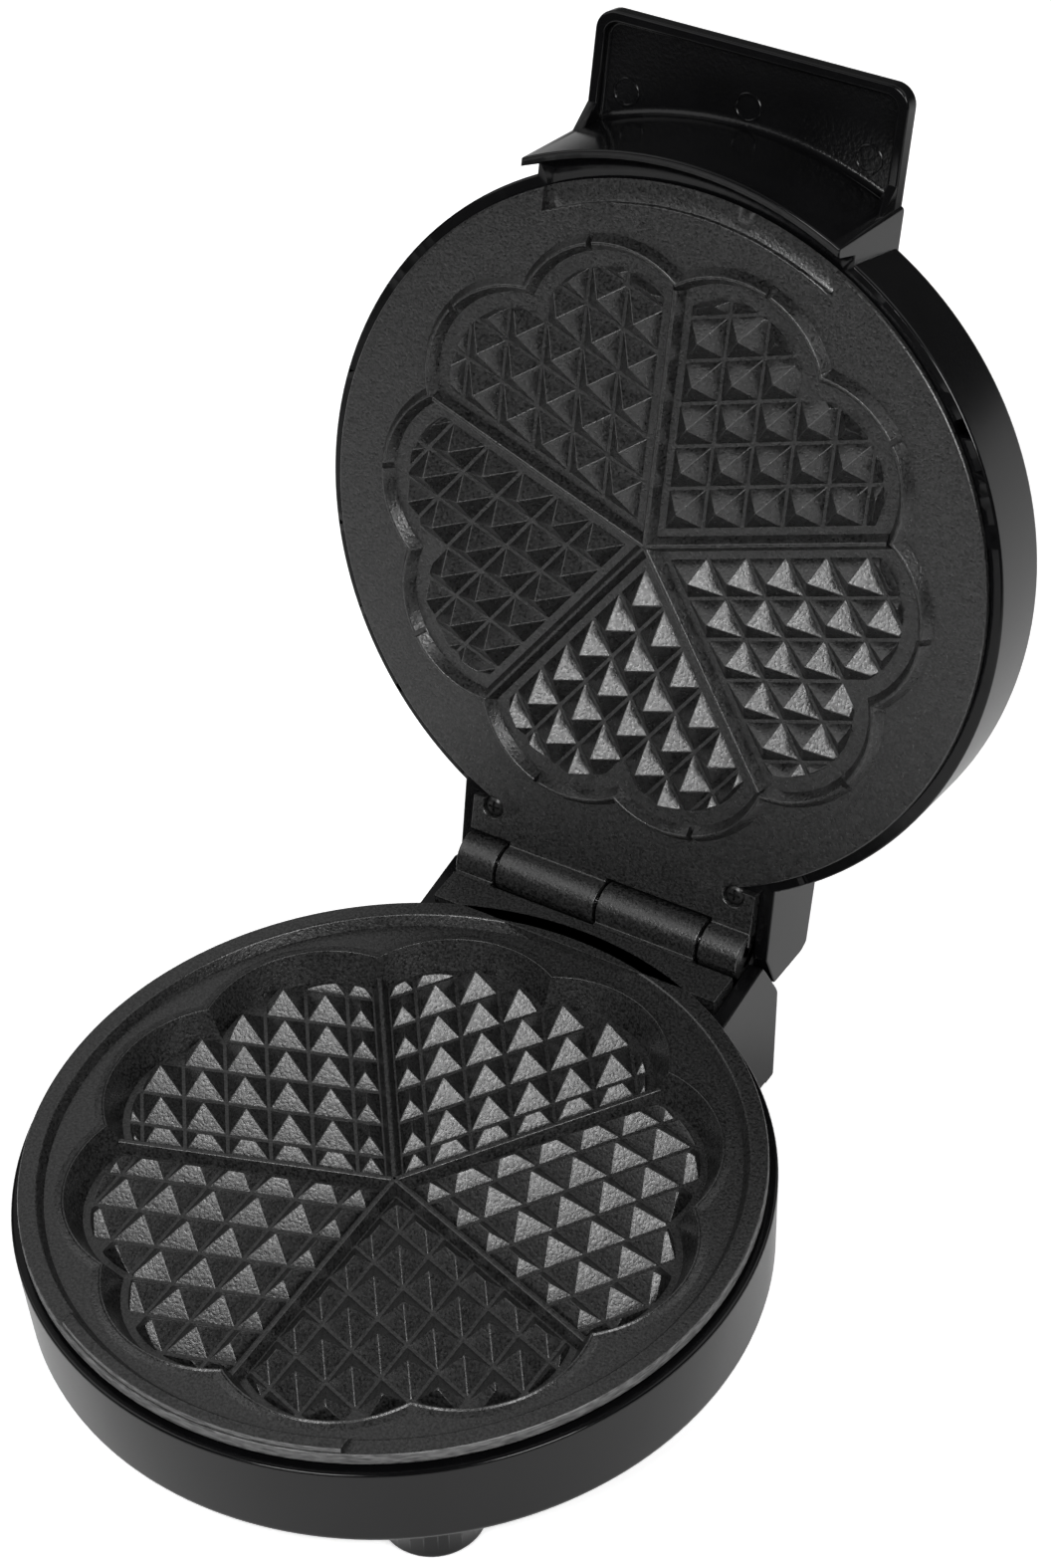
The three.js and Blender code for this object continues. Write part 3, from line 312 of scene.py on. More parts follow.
def prism(name, outline, half_width, rounds=(), middle=0):
    """An outline of (y, z) points, filled and extruded along X."""
    start = middle - half_width
    points = [placed(start, y, z) for y, z in outline]
    piece = draw_line(name, points + points[:1])
    merge_doubles()
    round_corners(piece, [(points[index], size) for index, size in rounds])
    edit_all()
    bpy.ops.mesh.edge_face_add()
    bpy.ops.mesh.extrude_region_move(
        TRANSFORM_OT_translate={"value": (2 * half_width * mm, 0, 0)})
    weld(piece)
    return piece


def block(name, low, high):
    """A rectangular block between two corners."""
    low = placed(*low)
    high = placed(*high)
    bpy.ops.mesh.primitive_cube_add(size=1, location=(low + high) / 2, scale=high - low)
    piece = bpy.context.object
    piece.name = name
    apply_place()
    return piece


def rod(name, radius, start, end, sides=64):
    """A round bar between two points."""
    start = placed(*start)
    end = placed(*end)
    along = end - start
    bpy.ops.mesh.primitive_cylinder_add(
        vertices=sides, radius=radius * mm, depth=along.length,
        location=(start + end) / 2, rotation=along.to_track_quat("Z", "Y").to_euler())
    piece = bpy.context.object
    piece.name = name
    apply_place()
    return piece


def combine(piece, others, operation):
    """Joins other solids to a piece, or cuts them out of it, and removes them."""
    for other in others:
        pick(piece)
        change = piece.modifiers.new("change", "BOOLEAN")
        change.operation = operation
        change.solver = "EXACT"
        change.object = other
        bpy.ops.object.modifier_apply(modifier=change.name)
        bpy.data.objects.remove(other)


def soften(piece, width, angle=32, steps=3):
    """Rounds the piece's sharp edges and shades it smooth with level flats."""
    pick(piece)
    if width:
        bevel = piece.modifiers.new("edges", "BEVEL")
        bevel.width = width * mm
        bevel.segments = steps
        bevel.limit_method = "ANGLE"
        bevel.angle_limit = math.radians(angle)
        bevel.use_clamp_overlap = False
        bevel.miter_outer = "MITER_ARC"
        bpy.ops.object.modifier_apply(modifier=bevel.name)
    bpy.ops.object.shade_smooth_by_angle(angle=math.radians(angle))
    flats = piece.modifiers.new("flats", "WEIGHTED_NORMAL")
    flats.keep_sharp = True
    flats.weight = 80
    bpy.ops.object.modifier_apply(modifier=flats.name)


def finish_piece(piece, material, body, slot, *nodes):
    """Gives a piece its material and its place in the frame."""
    piece.data.materials.clear()
    piece.data.materials.append(material)
    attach(piece, body)
    if nodes:
        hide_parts(*nodes)


def new_material(name, values):
    """A material with its shader's plain inputs set, its node tree, its shader and the
    node that gives an object's own coordinates."""
    material = bpy.data.materials.new(name)
    material.use_nodes = True
    tree = material.node_tree
    shader = tree.nodes["Principled BSDF"]
    set_inputs(shader, values)
    where = add_node(tree, "TexCoord", {})
    return material, tree, shader, where


def noise(tree, place, output, values):
    """Noise that is read at the place that another node gives."""
    texture = add_node(tree, "TexNoise", values)
    link(place, output, texture, "Vector")
    return texture


def colour_by(tree, shader, texture, low, dark, high, pale):
    """The base colour runs from dark to pale where the noise runs from low to high."""
    tone = add_node(tree, "ValToRGB", {})
    for element, place, colour in zip(tone.color_ramp.elements, (low, high), (dark, pale)):
        element.position = place
        element.color = (*colour, 1)
    link(texture, "Fac", tone, "Fac")
    link(tone, "Color", shader, "Base Color")


def roughen_by(tree, shader, texture, values, relief, depth=0.0001):
    """The roughness follows the noise through a map range, and so does a shallow relief."""
    gloss = add_node(tree, "MapRange", values)
    link(texture, "Fac", gloss, "Value")
    link(gloss, "Result", shader, "Roughness")
    bump = add_node(tree, "Bump", {"Strength": relief, "Distance": depth})
    link(texture, "Fac", bump, "Height")
    link(bump, "Normal", shader, "Normal")


def shell_plastic(name, roughness, grain):
    """Moulded black plastic: even colour, faint waviness and a little dust in its gloss."""
    material, tree, shader, where = new_material(name, {"IOR": 1.33})
    cloud = noise(tree, where, "Object", {"Scale": 60, "Detail": 4})
    colour_by(tree, shader, cloud, 0.3, [c * 0.8 for c in shell_colour],
              0.7, [c * 1.2 for c in shell_colour])
    dust = noise(tree, where, "Object", {"Scale": 900, "Detail": 3})
    roughen_by(tree, shader, dust, {
        "From Min": 0.35, "From Max": 0.75,
        "To Min": roughness * 0.9, "To Max": roughness * 1.25}, grain)
    return material


gloss_black = shell_plastic("gloss_black_plastic", 0.13, 0.05)

tower_outline = [
    (tower_front, -lip_height),
    (tower_foot_back, -lip_height),
    tower_back,
    tower_corner,
    (math.sqrt(housing_rim_radius ** 2 - tower_half_width ** 2), housing_rim_top),
    (tower_front, housing_underside + 1),
]
lower_housing = turned("lower_housing", [
    (0, housing_underside),
    (housing_foot_radius, housing_underside),
    (housing_rim_radius, housing_rim_top),
    (housing_ledge_radius, housing_rim_top),
    (housing_ledge_radius, housing_rim_top - housing_ledge_depth),
    (housing_rim_radius - housing_wall, housing_rim_top - housing_ledge_depth),
    (housing_foot_radius - housing_wall, housing_underside + housing_wall),
    (0, housing_underside + housing_wall),
], rounds=[(1, housing_foot_round), (2, housing_rim_round), (3, housing_rim_round)])
tower = prism("tower", tower_outline, tower_half_width, rounds=[(1, 0.8), (2, 1.5), (3, 1.5)])
soften(tower, 0.5)
posts = [
    turned("post", [
        (0, pad_top + 0.4),
        (pad_radius + 0.4, pad_top + 0.4),
        (pad_radius + 0.4, post_foot),
        (post_radius, post_foot),
        (post_radius, housing_underside + 1),
        (0, housing_underside + 1),
    ], rounds=[(3, post_round)], centre=(side * post_x, post_y), steps=96)
    for side in (-1, 1)]
combine(lower_housing, [tower, *posts], "UNION")
gland_hole = rod("gland_hole", gland_bore, (0, tower_front + 10, gland_rise - lip_height),
                 (0, tower_back[0] + 4, gland_rise - lip_height))
tower_room = prism("tower_room", [
    (tower_front + 3, -lip_height + 2.4),
    (tower_foot_back - 2.4, -lip_height + 2.4),
    (tower_back[0] - 2.6, tower_back[1]),
    (tower_corner[0] - 2, tower_corner[1] - 3.2),
    (tower_front + 3, housing_rim_top - 3.2),
], tower_half_width - housing_wall)
step = block("step", (-tower_half_width - 2, 60, -lip_height - 2),
             (tower_half_width + 2, tower_foot_back - tower_rib_width, tower_rib_depth - lip_height))
barrel_room = rod("barrel_room", barrel_room_radius,
                  (-cheek_half_width, hinge_y, hinge_rise), (cheek_half_width, hinge_y, hinge_rise))
tab_room = block("tab_room", (-cheek_half_width, tab_room_front, tab_room_floor),
                 (cheek_half_width, hinge_y, hinge_rise + barrel_room_radius))
combine(lower_housing, [tower_room, step, barrel_room, tab_room, gland_hole], "DIFFERENCE")
soften(lower_housing, 0, angle=35)
finish_piece(lower_housing, gloss_black, "base", "shell_black", "base_shell")

# Feet
# Two black rubber pads pressed into the hollow ends of the front posts.

def rough_finish(name, colour, roughness, spread=0.15, metallic=0.0, grain=(400, 400, 400), relief=0.1):
    """A plain worked surface, such as rubber, sheet or phenolic: its colour and gloss vary
    softly, and its grain can be drawn out along one axis."""
    material, tree, shader, where = new_material(name, {"Metallic": metallic})
    scale = add_node(tree, "Mapping", {"Scale": grain})
    link(where, "Object", scale, "Vector")
    lines = noise(tree, scale, "Vector", {"Scale": 1, "Detail": 4})
    colour_by(tree, shader, lines, 0.3, [c * (1 - spread) for c in colour],
              0.7, [min(c * (1 + spread), 1) for c in colour])
    roughen_by(tree, shader, lines, {"To Min": roughness * 0.85, "To Max": roughness * 1.15}, relief)
    return material


black_rubber = rough_finish("black_rubber", (0.012, 0.012, 0.012), 0.6, relief=0.3)

for side, node in ((-1, "foot_pad_left"), (1, "foot_pad_right")):
    pad = turned(node + "_dressed", [
        (0, -lip_height + 0.5),
        (4.6, -lip_height + 0.5),
        (5.0, -lip_height),
        (pad_radius, -lip_height),
        (pad_radius, pad_top),
        (0, pad_top),
    ], rounds=[(3, 0.7)], centre=(side * post_x, post_y), steps=64)
    soften(pad, 0)
    finish_piece(pad, black_rubber, "base", "rubber_black", node)

# Cord entry
# A black rubber gland sits in the tower's back wall. Inside, a saddle with two screws grips
# the cord, and its wires end at a terminal block. The cord itself isn't part of the model.

gland_hollow_radius = 3.6
gland_tube_radius = 6.0
gland_flange_radius = 8.2
gland_inside = 112.9
gland_flange_start = 10.4
gland_length = 12.4


def cover(material, *names):
    """Gives pieces that keep the CAD's own shape their finish."""
    for name in names:
        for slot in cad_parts[name].material_slots:
            slot.material = material


gland = turned("cord_gland_dressed", [
    (gland_hollow_radius, 0),
    (gland_tube_radius, 0),
    (gland_tube_radius, 7.2),
    (gland_tube_radius - 0.4, 7.6),
    (gland_tube_radius - 0.4, gland_flange_start),
    (gland_flange_radius, gland_flange_start),
    (gland_flange_radius, gland_length),
    (gland_hollow_radius, gland_length),
    (gland_hollow_radius, 0),
], rounds=[(1, 0.8), (6, 0.9), (7, 0.6)], steps=96)
seat = placed(0, gland_inside, gland_rise - lip_height)
pick(gland)
gland.matrix_world = (Matrix.Translation(seat) @ Matrix.Rotation(math.radians(-90), 4, "X")
                      @ Matrix.Translation(-origin))
apply_place()
soften(gland, 0)
finish_piece(gland, black_rubber, "base", "rubber_black", "cord_gland")
bright_zinc = rough_finish("bright_zinc", (0.62, 0.62, 0.63), 0.3, metallic=1.0, relief=0.05)
terminal_white = rough_finish("terminal_white", (0.7, 0.67, 0.58), 0.5, spread=0.04)
cover(gloss_black, "cord_clamp")
cover(bright_zinc, "cord_clamp_screw_1", "cord_clamp_screw_2")
cover(terminal_white, "terminal_block")

# Lower heater and controls
# Under the lower plate a steel-sheathed element is pressed on by a pressed sheet with three
# screws. A phenolic thermostat reads the plate, and a ceramic fuse lies in a sheet clip.

dull_sheath = rough_finish("dull_sheath", (0.25, 0.24, 0.23), 0.5, metallic=1.0)
plain_sheet = rough_finish("plain_sheet", (0.5, 0.5, 0.5), 0.35, metallic=1.0, grain=(60, 3000, 3000))
brown_phenolic = rough_finish("brown_phenolic", (0.05, 0.025, 0.015), 0.55)
cream_ceramic = rough_finish("cream_ceramic", (0.62, 0.57, 0.46), 0.45, spread=0.05)
cover(dull_sheath, "lower_heater")
cover(plain_sheet, "lower_heat_shield", "fuse_clip")
cover(bright_zinc, *[f"lower_shield_screw_{number}" for number in (1, 2, 3)])
cover(brown_phenolic, "thermostat")
cover(cream_ceramic, "thermal_fuse")

# Lower plate
# A cast aluminium plate with a dark non-stick coating, laid on the housing's ledge: a flower
# of five hearts sunk between ribs, with pyramids on its floor, a thin lip round it, an outer
# ring with a raised arc at the front, and a tab at the back with two of the hinge's barrels.

heart_turn = math.radians(72)
rib_angle = math.pi / 2 - heart_turn / 2
lobe_distance = 56.2
lobe_turn = math.radians(17.2)
lip_lobe_radius = 34.8
floor_lobe_radius = 30.5
dish_floor = -8.5
land = -0.8
ring_top = 2.3
lower_back = -11.5
ring_foot_radius = 96.5
back_step_radius = 101.4
pyramid_slope = math.tan(math.radians(46.7))
cut_slope = math.tan(math.radians(75))
cell_pitch = 12.0
cell_gap = 1.0
rib_half_width = 2.1
rib_crest_half_width = 0.65
rib_crest = -5.3
raised_arc_top = 4.0
raised_arc_half_width = 44.4
raised_arc_inner = 97.8
raised_arc_outer = 102.9
tab_half_width = 47.4
tab_front = 95.5
tab_end = 106.9
tab_thickness = 6.0
barrel_radius = 7.15
barrel_ends = [-47.4, -34.2, 0, 34.2, 47.4]
barrel_gap = 1.0
pin_radius = 2.5
front_reach = 150


def coating(name, pale, fleck_share, roughness):
    """Non-stick coating: black with fine pale flecks and a slightly pebbled surface."""
    material, tree, shader, where = new_material(name, {"IOR": 1.66})
    flecks = noise(tree, where, "Object", {"Scale": 1300, "Detail": 2, "Roughness": 0.7})
    colour_by(tree, shader, flecks, 0.5 - fleck_share, (0, 0, 0), 0.5 + fleck_share, pale)
    pebbles = noise(tree, where, "Object", {"Scale": 1200, "Detail": 3})
    roughen_by(tree, shader, pebbles, {
        "From Min": 0.3, "From Max": 0.7,
        "To Min": roughness - 0.08, "To Max": roughness + 0.08}, 1, 0.00012)
    return material


plate_coating = coating("plate_coating", (0.022, 0.022, 0.022), 0.1, 0.32)


def polar(radius, angle):
    return radius * math.cos(angle), radius * math.sin(angle)


def heart_wall(name, profile, rounds=(), steps=72):
    """The wall round the heart that lies towards the hinge. A profile of (radius, height)
    is spun about one lobe's middle, cut at the heart's middle plane and at the rib's plane,
    and mirrored. The object is left in edit mode."""
    lobe_x, lobe_y = polar(lobe_distance, math.pi / 2 - lobe_turn)
    start = math.radians(-32)
    points = [placed(lobe_x + radius * math.cos(start), lobe_y + radius * math.sin(start), height)
              for radius, height in profile]
    piece = draw_line(name, points)
    round_corners(piece, [(points[index], size) for index, size in rounds], 5)
    edit_all()
    bpy.ops.mesh.spin(steps=steps, angle=math.radians(190), center=placed(lobe_x, lobe_y, 0),
                      axis=(0, 0, -1))
    for normal in ((-1, 0, 0), (math.sin(rib_angle), -math.cos(rib_angle), 0)):
        edit_all()
        bpy.ops.mesh.bisect(plane_co=origin, plane_no=normal, clear_outer=True,
                            threshold=0.00001 * mm)
    edit_all()
    bpy.ops.mesh.duplicate()
    bpy.ops.transform.resize(value=(-1, 1, 1), center_override=origin)
    merge_doubles()
    return piece


def round_the_flower():
    """Sets what is being edited round the plate's middle five times."""
    edit_all()
    bpy.ops.mesh.spin(steps=4, angle=4 * heart_turn, center=origin, axis=(0, 0, 1), dupli=True)
    merge_doubles()


def lobe_angles():
    """The ten lobes' directions from the plate's middle."""
    return [math.pi / 2 + heart * heart_turn + side * lobe_turn
            for heart in range(5) for side in (-1, 1)]


def rim_loop(piece, height, farthest=2 * plate_radius):
    """Selects the open edges at one height, no farther from a lobe's middle than this."""
    bpy.ops.mesh.select_mode(type="EDGE")
    edit_all("DESELECT")
    lobes = [placed(*polar(lobe_distance, turn), height) for turn in lobe_angles()]
    mesh = bmesh.from_edit_mesh(piece.data)
    for edge in mesh.edges:
        place = edge_middle(edge)
        if edge.is_boundary and abs(place.z - lobes[0].z) < 0.01 * mm:
            if min((place - lobe).length for lobe in lobes) < farthest * mm:
                edge.select_set(True)
    bmesh.update_edit_mesh(piece.data)


def heart_block(name, foot, top):
    """One heart as a solid with sloping lobes, between its two ribs' planes. Foot and top
    are (lobe radius, height)."""
    piece = heart_wall(name, [foot, top], steps=64)
    for side in (-1, 1):
        normal = Vector((side * math.sin(rib_angle), -math.cos(rib_angle), 0))
        select_where(piece, lambda place: abs((place - origin).dot(normal)) < 0.003 * mm)
        bpy.ops.mesh.extrude_region_move()
        bpy.ops.transform.resize(value=(0, 0, 1), center_override=origin)
    merge_doubles()
    for radius, height in (foot, top):
        rim_loop(piece, height)
        bpy.ops.mesh.edge_face_add()
    weld(piece)
    return piece


def rib_rows(first_groove, first_start, reach):
    """Rows of cells as their (from, to) distances from a rib's middle line."""
    rows = []
    if first_start:
        rows.append((first_start, first_groove - cell_gap / 2))
    start = first_groove + cell_gap / 2
    while start < reach:
        rows.append((start, start + cell_pitch - cell_gap))
        start += cell_pitch
    return rows


def heart_pyramids(name, rows, outline_radius, floor):
    """The pyramids of one heart: blocks between the grooves with their tops drawn together,
    cut off by a steep wall along the heart's outline."""
    sink = 0.4

    def cell_point(one, other, height):
        x = (other - one) / (2 * math.sin(rib_angle))
        y = (other + one) / (2 * math.cos(rib_angle))
        return placed(x, y, height)

    piece = None
    for row in rows:
        for other_row in rows:
            near = cell_point(row[0], other_row[0], 0) - origin
            if near.length > (lobe_distance + outline_radius) * mm:
                continue
            half = min(row[1] - row[0], other_row[1] - other_row[0]) / 2
            if piece is None:
                bpy.ops.mesh.primitive_cube_add(size=mm)
                piece = bpy.context.object
                piece.name = name
                edit_mode()
            else:
                bpy.ops.mesh.primitive_cube_add(size=mm)
            mesh = bmesh.from_edit_mesh(piece.data)
            corners = [vertex for vertex in mesh.verts if vertex.select]
            lowest = min(vertex.co.z for vertex in corners)
            left = min(vertex.co.x for vertex in corners)
            front = min(vertex.co.y for vertex in corners)
            for vertex in corners:
                one = row[0] if vertex.co.x < left + mm / 2 else row[1]
                other = other_row[0] if vertex.co.y < front + mm / 2 else other_row[1]
                vertex.tag = vertex.co.z < lowest + mm / 2
                vertex.co = cell_point(one, other, floor)
                if not vertex.tag:
                    inward = half if one == row[0] else -half
                    other_inward = half if other == other_row[0] else -half
                    vertex.co = cell_point(
                        one + inward, other + other_inward, floor + half * pyramid_slope)
            foot = [face for face in mesh.faces if face.select and all(v.tag for v in face.verts)]
            edit_all("DESELECT")
            foot[0].select_set(True)
            bmesh.update_edit_mesh(piece.data)
            bpy.ops.mesh.extrude_region_move(
                TRANSFORM_OT_translate={"value": (0, 0, -sink * mm)})
            edit_all("DESELECT")
    weld(piece)
    height = cell_pitch / 2 * pyramid_slope
    outline = heart_block(
        "outline",
        (outline_radius + sink / cut_slope, floor - sink),
        (outline_radius - height / cut_slope, floor + height))
    combine(piece, [outline], "INTERSECT")
    return piece


def drop_slivers(piece, least):
    """Takes away loose bits of a cut pattern that are smaller than a casting could hold."""
    edit_mode()
    mesh = bmesh.from_edit_mesh(piece.data)
    mesh.verts.ensure_lookup_table()
    left = set(mesh.verts)
    doomed = []
    while left:
        island = {left.pop()}
        frontier = list(island)
        while frontier:
            vertex = frontier.pop()
            for edge in vertex.link_edges:
                other = edge.other_vert(vertex)
                if other in left:
                    left.remove(other)
                    island.add(other)
                    frontier.append(other)
        spread = [max(v.co[axis] for v in island) - min(v.co[axis] for v in island)
                  for axis in range(3)]
        if min(spread) < least * mm:
            doomed.extend(island)
    bmesh.ops.delete(mesh, geom=doomed, context="VERTS")
    bmesh.update_edit_mesh(piece.data)
    edit_mode(False)


def round_ridges(piece, floor, width):
    """Rounds the edges of a cut pattern, but not those at its foot."""
    pick(piece)
    edit_mode()
    bpy.ops.mesh.select_mode(type="EDGE")
    edit_all("DESELECT")
    mesh = bmesh.from_edit_mesh(piece.data)
    foot = placed(0, 0, floor).z + 0.02 * mm
    for edge in mesh.edges:
        raised = max(vertex.co.z for vertex in edge.verts) > foot
        if raised and len(edge.link_faces) == 2 and edge.calc_face_angle() > math.radians(25):
            edge.select_set(True)
    bmesh.update_edit_mesh(piece.data)
    bpy.ops.mesh.bevel(
        affect="EDGES", offset=width * mm, segments=2, clamp_overlap=False)
    edit_mode(False)


def flower_of_pyramids(name, rows, outline_radius, floor):
    """All five hearts' pyramids as one object."""
    piece = heart_pyramids(name, rows, outline_radius, floor)
    drop_slivers(piece, 2)
    round_ridges(piece, floor, 0.28)
    edit_mode()
    round_the_flower()
    weld(piece, 0.0005)
    soften(piece, 0, angle=40)
    return piece


def flower_of_ribs(name, half_width, crest_half_width, floor, crest, reach):
    """Five ribs with flat crests that meet in the plate's middle."""
    sink = 0.5
    section = [
        (-half_width, floor - sink),
        (-half_width, floor),
        (-crest_half_width, crest),
        (crest_half_width, crest),
        (half_width, floor),
        (half_width, floor - sink),
    ]
    points = [placed(x, 0, z) for x, z in section]
    piece = draw_line(name, points + points[:1])
    merge_doubles()
    round_corners(piece, [(points[2], 0.3), (points[3], 0.3)], 3)
    edit_all()
    bpy.ops.mesh.edge_face_add()
    bpy.ops.mesh.extrude_region_move(TRANSFORM_OT_translate={"value": (0, -reach * mm, 0)})
    edit_all()
    bpy.ops.mesh.normals_make_consistent(inside=False)
    round_the_flower()
    weld(piece, 0.0005)
    soften(piece, 0)
    return piece


def barrels(name, numbers, axis_height, foot, top):
    """Hinge barrels with rounded ends, and the arms that carry them."""
    pieces = []
    for number in numbers:
        first = number == 0
        last = number == len(barrel_ends) - 2
        start = barrel_ends[number] + (0 if first else barrel_gap / 2)
        end = barrel_ends[number + 1] - (0 if last else barrel_gap / 2)
        barrel = rod(name, barrel_radius, (start, hinge_y, axis_height), (end, hinge_y, axis_height))
        bore = rod("bore", pin_radius + 0.4, (start - 1, hinge_y, axis_height),
                   (end + 1, hinge_y, axis_height))
        arm = block("arm", (start, tab_end - 1, foot), (end, hinge_y, top))
        combine(barrel, [arm], "UNION")
        combine(barrel, [bore], "DIFFERENCE")
        soften(barrel, 0.45, angle=50, steps=2)
        pieces.append(barrel)
    return pieces


def keep_front(piece, half_width, low, high, back=60):
    """Keeps a piece's front part, between two sides and two heights."""
    front = block("front", (-half_width, -front_reach, low), (half_width, -back, high))
    combine(piece, [front], "INTERSECT")


def cast_together(main, others):
    """Makes overlapping solids one object."""
    pick(main, *others)
    bpy.ops.object.join()


lower_plate = heart_wall("lower_plate_dressed", [
    (lip_lobe_radius + 2.8, land),
    (lip_lobe_radius + 0.8, -0.45),
    (lip_lobe_radius + 0.35, 0),
    (lip_lobe_radius, 0),
    (floor_lobe_radius, dish_floor),
], rounds=[(2, 0.12), (3, 0.15)])
round_the_flower()
rim_loop(lower_plate, dish_floor)
bpy.ops.mesh.edge_face_add()
ring_profile = [
    (ring_foot_radius, land),
    (98.3, ring_top),
    (plate_radius, ring_top),
    (plate_radius, -1.6),
    (back_step_radius, -1.6),
    (back_step_radius, -4.5),
    (94, -4.5),
    (94, lower_back),
    (0, lower_back),
]
weld(lower_plate)
ring = turned("ring", ring_profile, rounds=[(1, 0.5), (2, 0.6), (3, 0.5)], steps=240, corner_steps=3)
cast_together(lower_plate, [ring])
edit_mode()
rim_loop(lower_plate, land)
bpy.ops.mesh.mark_sharp()
bpy.ops.mesh.fill()
weld(lower_plate)
soften(lower_plate, 0, angle=19)
raised_arc = turned("raised_arc", [
    (raised_arc_inner, ring_top - 1),
    (raised_arc_inner, ring_top - 0.6),
    (raised_arc_inner + 1.7, raised_arc_top),
    (raised_arc_outer, raised_arc_top),
    (raised_arc_outer, ring_top - 1),
    (raised_arc_inner, ring_top - 1),
], steps=240)
keep_front(raised_arc, raised_arc_half_width, land, raised_arc_top + 2)
soften(raised_arc, 0.35, steps=2)
tab_foot = ring_top - tab_thickness
tab = block("tab", (-tab_half_width, tab_front, tab_foot), (tab_half_width, tab_end, ring_top))
soften(tab, 0.4, steps=2)
lower_barrels = barrels("lower_barrel", [0, 2], hinge_rise, tab_foot, ring_top)
lower_ribs = flower_of_ribs("lower_ribs", rib_half_width, rib_crest_half_width, dish_floor, rib_crest,
                            lobe_distance + 26)
lower_pyramids = flower_of_pyramids("lower_pyramids", rib_rows(10, 2.6, plate_radius),
                                    floor_lobe_radius - 2.1, dish_floor)
cast_together(lower_plate, [raised_arc, tab, *lower_barrels, lower_ribs, lower_pyramids])
finish_piece(lower_plate, plate_coating, "base", "plate_coating", "lower_plate")
turned_edge = rough_finish("turned_edge", (0.09, 0.09, 0.09), 0.4, spread=0.8,
                           grain=(300, 300, 1500), relief=0.8)
lower_plate.data.materials.append(turned_edge)
for face in lower_plate.data.polygons:
    spot = (face.center - origin) / mm
    reach = math.hypot(spot.x, spot.y)
    on_rim = abs(reach - plate_radius) < 0.35
    on_arc = raised_arc_outer - 0.1 < reach < plate_radius and spot.z > ring_top
    if on_rim or on_arc:
        face.material_index = 1

# Long screws and hinge pin
# Four bright screws come up through the lower housing into the plate's bosses. A steel pin
# runs through all four barrels and is held between the tower's cheeks.

plate_screw_circle = 82.0
plate_screw_face = -28.6
plate_screw_tip = -9.3
plate_screw_turns = (40, 140, 250, 290)


def cross_screw(name, spot, face, tip, head_radius, head_height, shank_radius):
    """A screw with a slightly domed head and a cross recess, from its head's face to its tip."""
    way = 1 if tip > face else -1
    screw = turned(name, [
        (0, face + way * 0.1),
        (head_radius * 0.6, face + way * 0.2),
        (head_radius, face + way * head_height * 0.5),
        (head_radius, face + way * head_height),
        (shank_radius, face + way * head_height),
        (shank_radius, tip - way * shank_radius),
        (shank_radius * 0.4, tip),
        (0, tip),
    ], rounds=[(1, 0.3), (2, 0.3)], centre=spot, steps=40, corner_steps=3)
    half_long = head_radius * 0.6
    half_wide = head_radius * 0.14
    bottom = face + way * head_height * 0.75
    low = min(bottom, face - way)
    high = max(bottom, face - way)
    x, y = spot
    slots = [
        block("slot", (x - half_long, y - half_wide, low), (x + half_long, y + half_wide, high)),
        block("slot", (x - half_wide, y - half_long, low), (x + half_wide, y + half_long, high)),
    ]
    combine(screw, slots, "DIFFERENCE")
    soften(screw, 0)
    return screw


def copied(piece, name, spot, other_spot):
    """A copy with its own mesh, moved from one spot to the other."""
    twin = piece.copy()
    twin.data = piece.data.copy()
    twin.name = name
    bpy.context.scene.collection.objects.link(twin)
    shift = placed(*other_spot, 0) - placed(*spot, 0)
    twin.data.transform(Matrix.Translation(shift))
    return twin


plate_screw_spots = [polar(plate_screw_circle, math.radians(turn)) for turn in plate_screw_turns]
plate_screws = [cross_screw("lower_plate_screw_1_dressed", plate_screw_spots[0], plate_screw_face,
                            plate_screw_tip, 3.7, 2.4, 1.9)]
for number, spot in enumerate(plate_screw_spots[1:], start=2):
    plate_screws.append(copied(plate_screws[0], f"lower_plate_screw_{number}_dressed",
                               plate_screw_spots[0], spot))
for number, screw in enumerate(plate_screws, start=1):
    finish_piece(screw, bright_zinc, "base", "steel", f"lower_plate_screw_{number}")
pin = rod("hinge_pin_dressed", pin_radius, (-tab_half_width, hinge_y, hinge_rise),
          (tab_half_width, hinge_y, hinge_rise))
soften(pin, 0.5)
finish_piece(pin, bright_zinc, "base", "steel", "hinge_pin")

# Upper plate
# The matching casting in the lid: a flat face with a raised ridge round the flower, slots
# through the ridge that let the steam out, ribs and pyramids, a recess for the lower
# plate's raised arc, and the other two barrels. Two screws hold its tab to the lid.

upper_face = 3.1
upper_edge = 2.2
upper_thickness = 5.0
ridge_height = 3.0
ridge_crest_radius = 30.4
ridge_outer_radius = 32.7
ridge_inner_radius = 28.0
upper_rib_half_width = 2.2
vent_width = 1.8
vent_length = 8
vent_floor = 0.2
cell_lobe_radius = 23.4
recess_half_width = 45.2
recess_radius = 97.2
recess_depth = 1.9
tab_screw_x = 40.6
tab_screw_y = 97.7
tab_screw_sink = 2.2
tab_screw_head = 3.0
open_angle = math.radians(106.7)


def open_with_lid(piece, face_down=False):
    """Turns a piece that was made in the closed lid's place up with the lid. A plate made
    face up is first laid face down."""
    hinge = placed(0, hinge_y, hinge_rise)
    turn = Matrix.Translation(hinge) @ Matrix.Rotation(-open_angle, 4, "X") @ Matrix.Translation(-hinge)
    if face_down:
        turn = turn @ Matrix.Translation(placed(0, 0, upper_face))
        turn = turn @ Matrix.Rotation(math.pi, 4, "Y") @ Matrix.Translation(-origin)
    pick(piece)
    piece.matrix_world = turn
    apply_place()


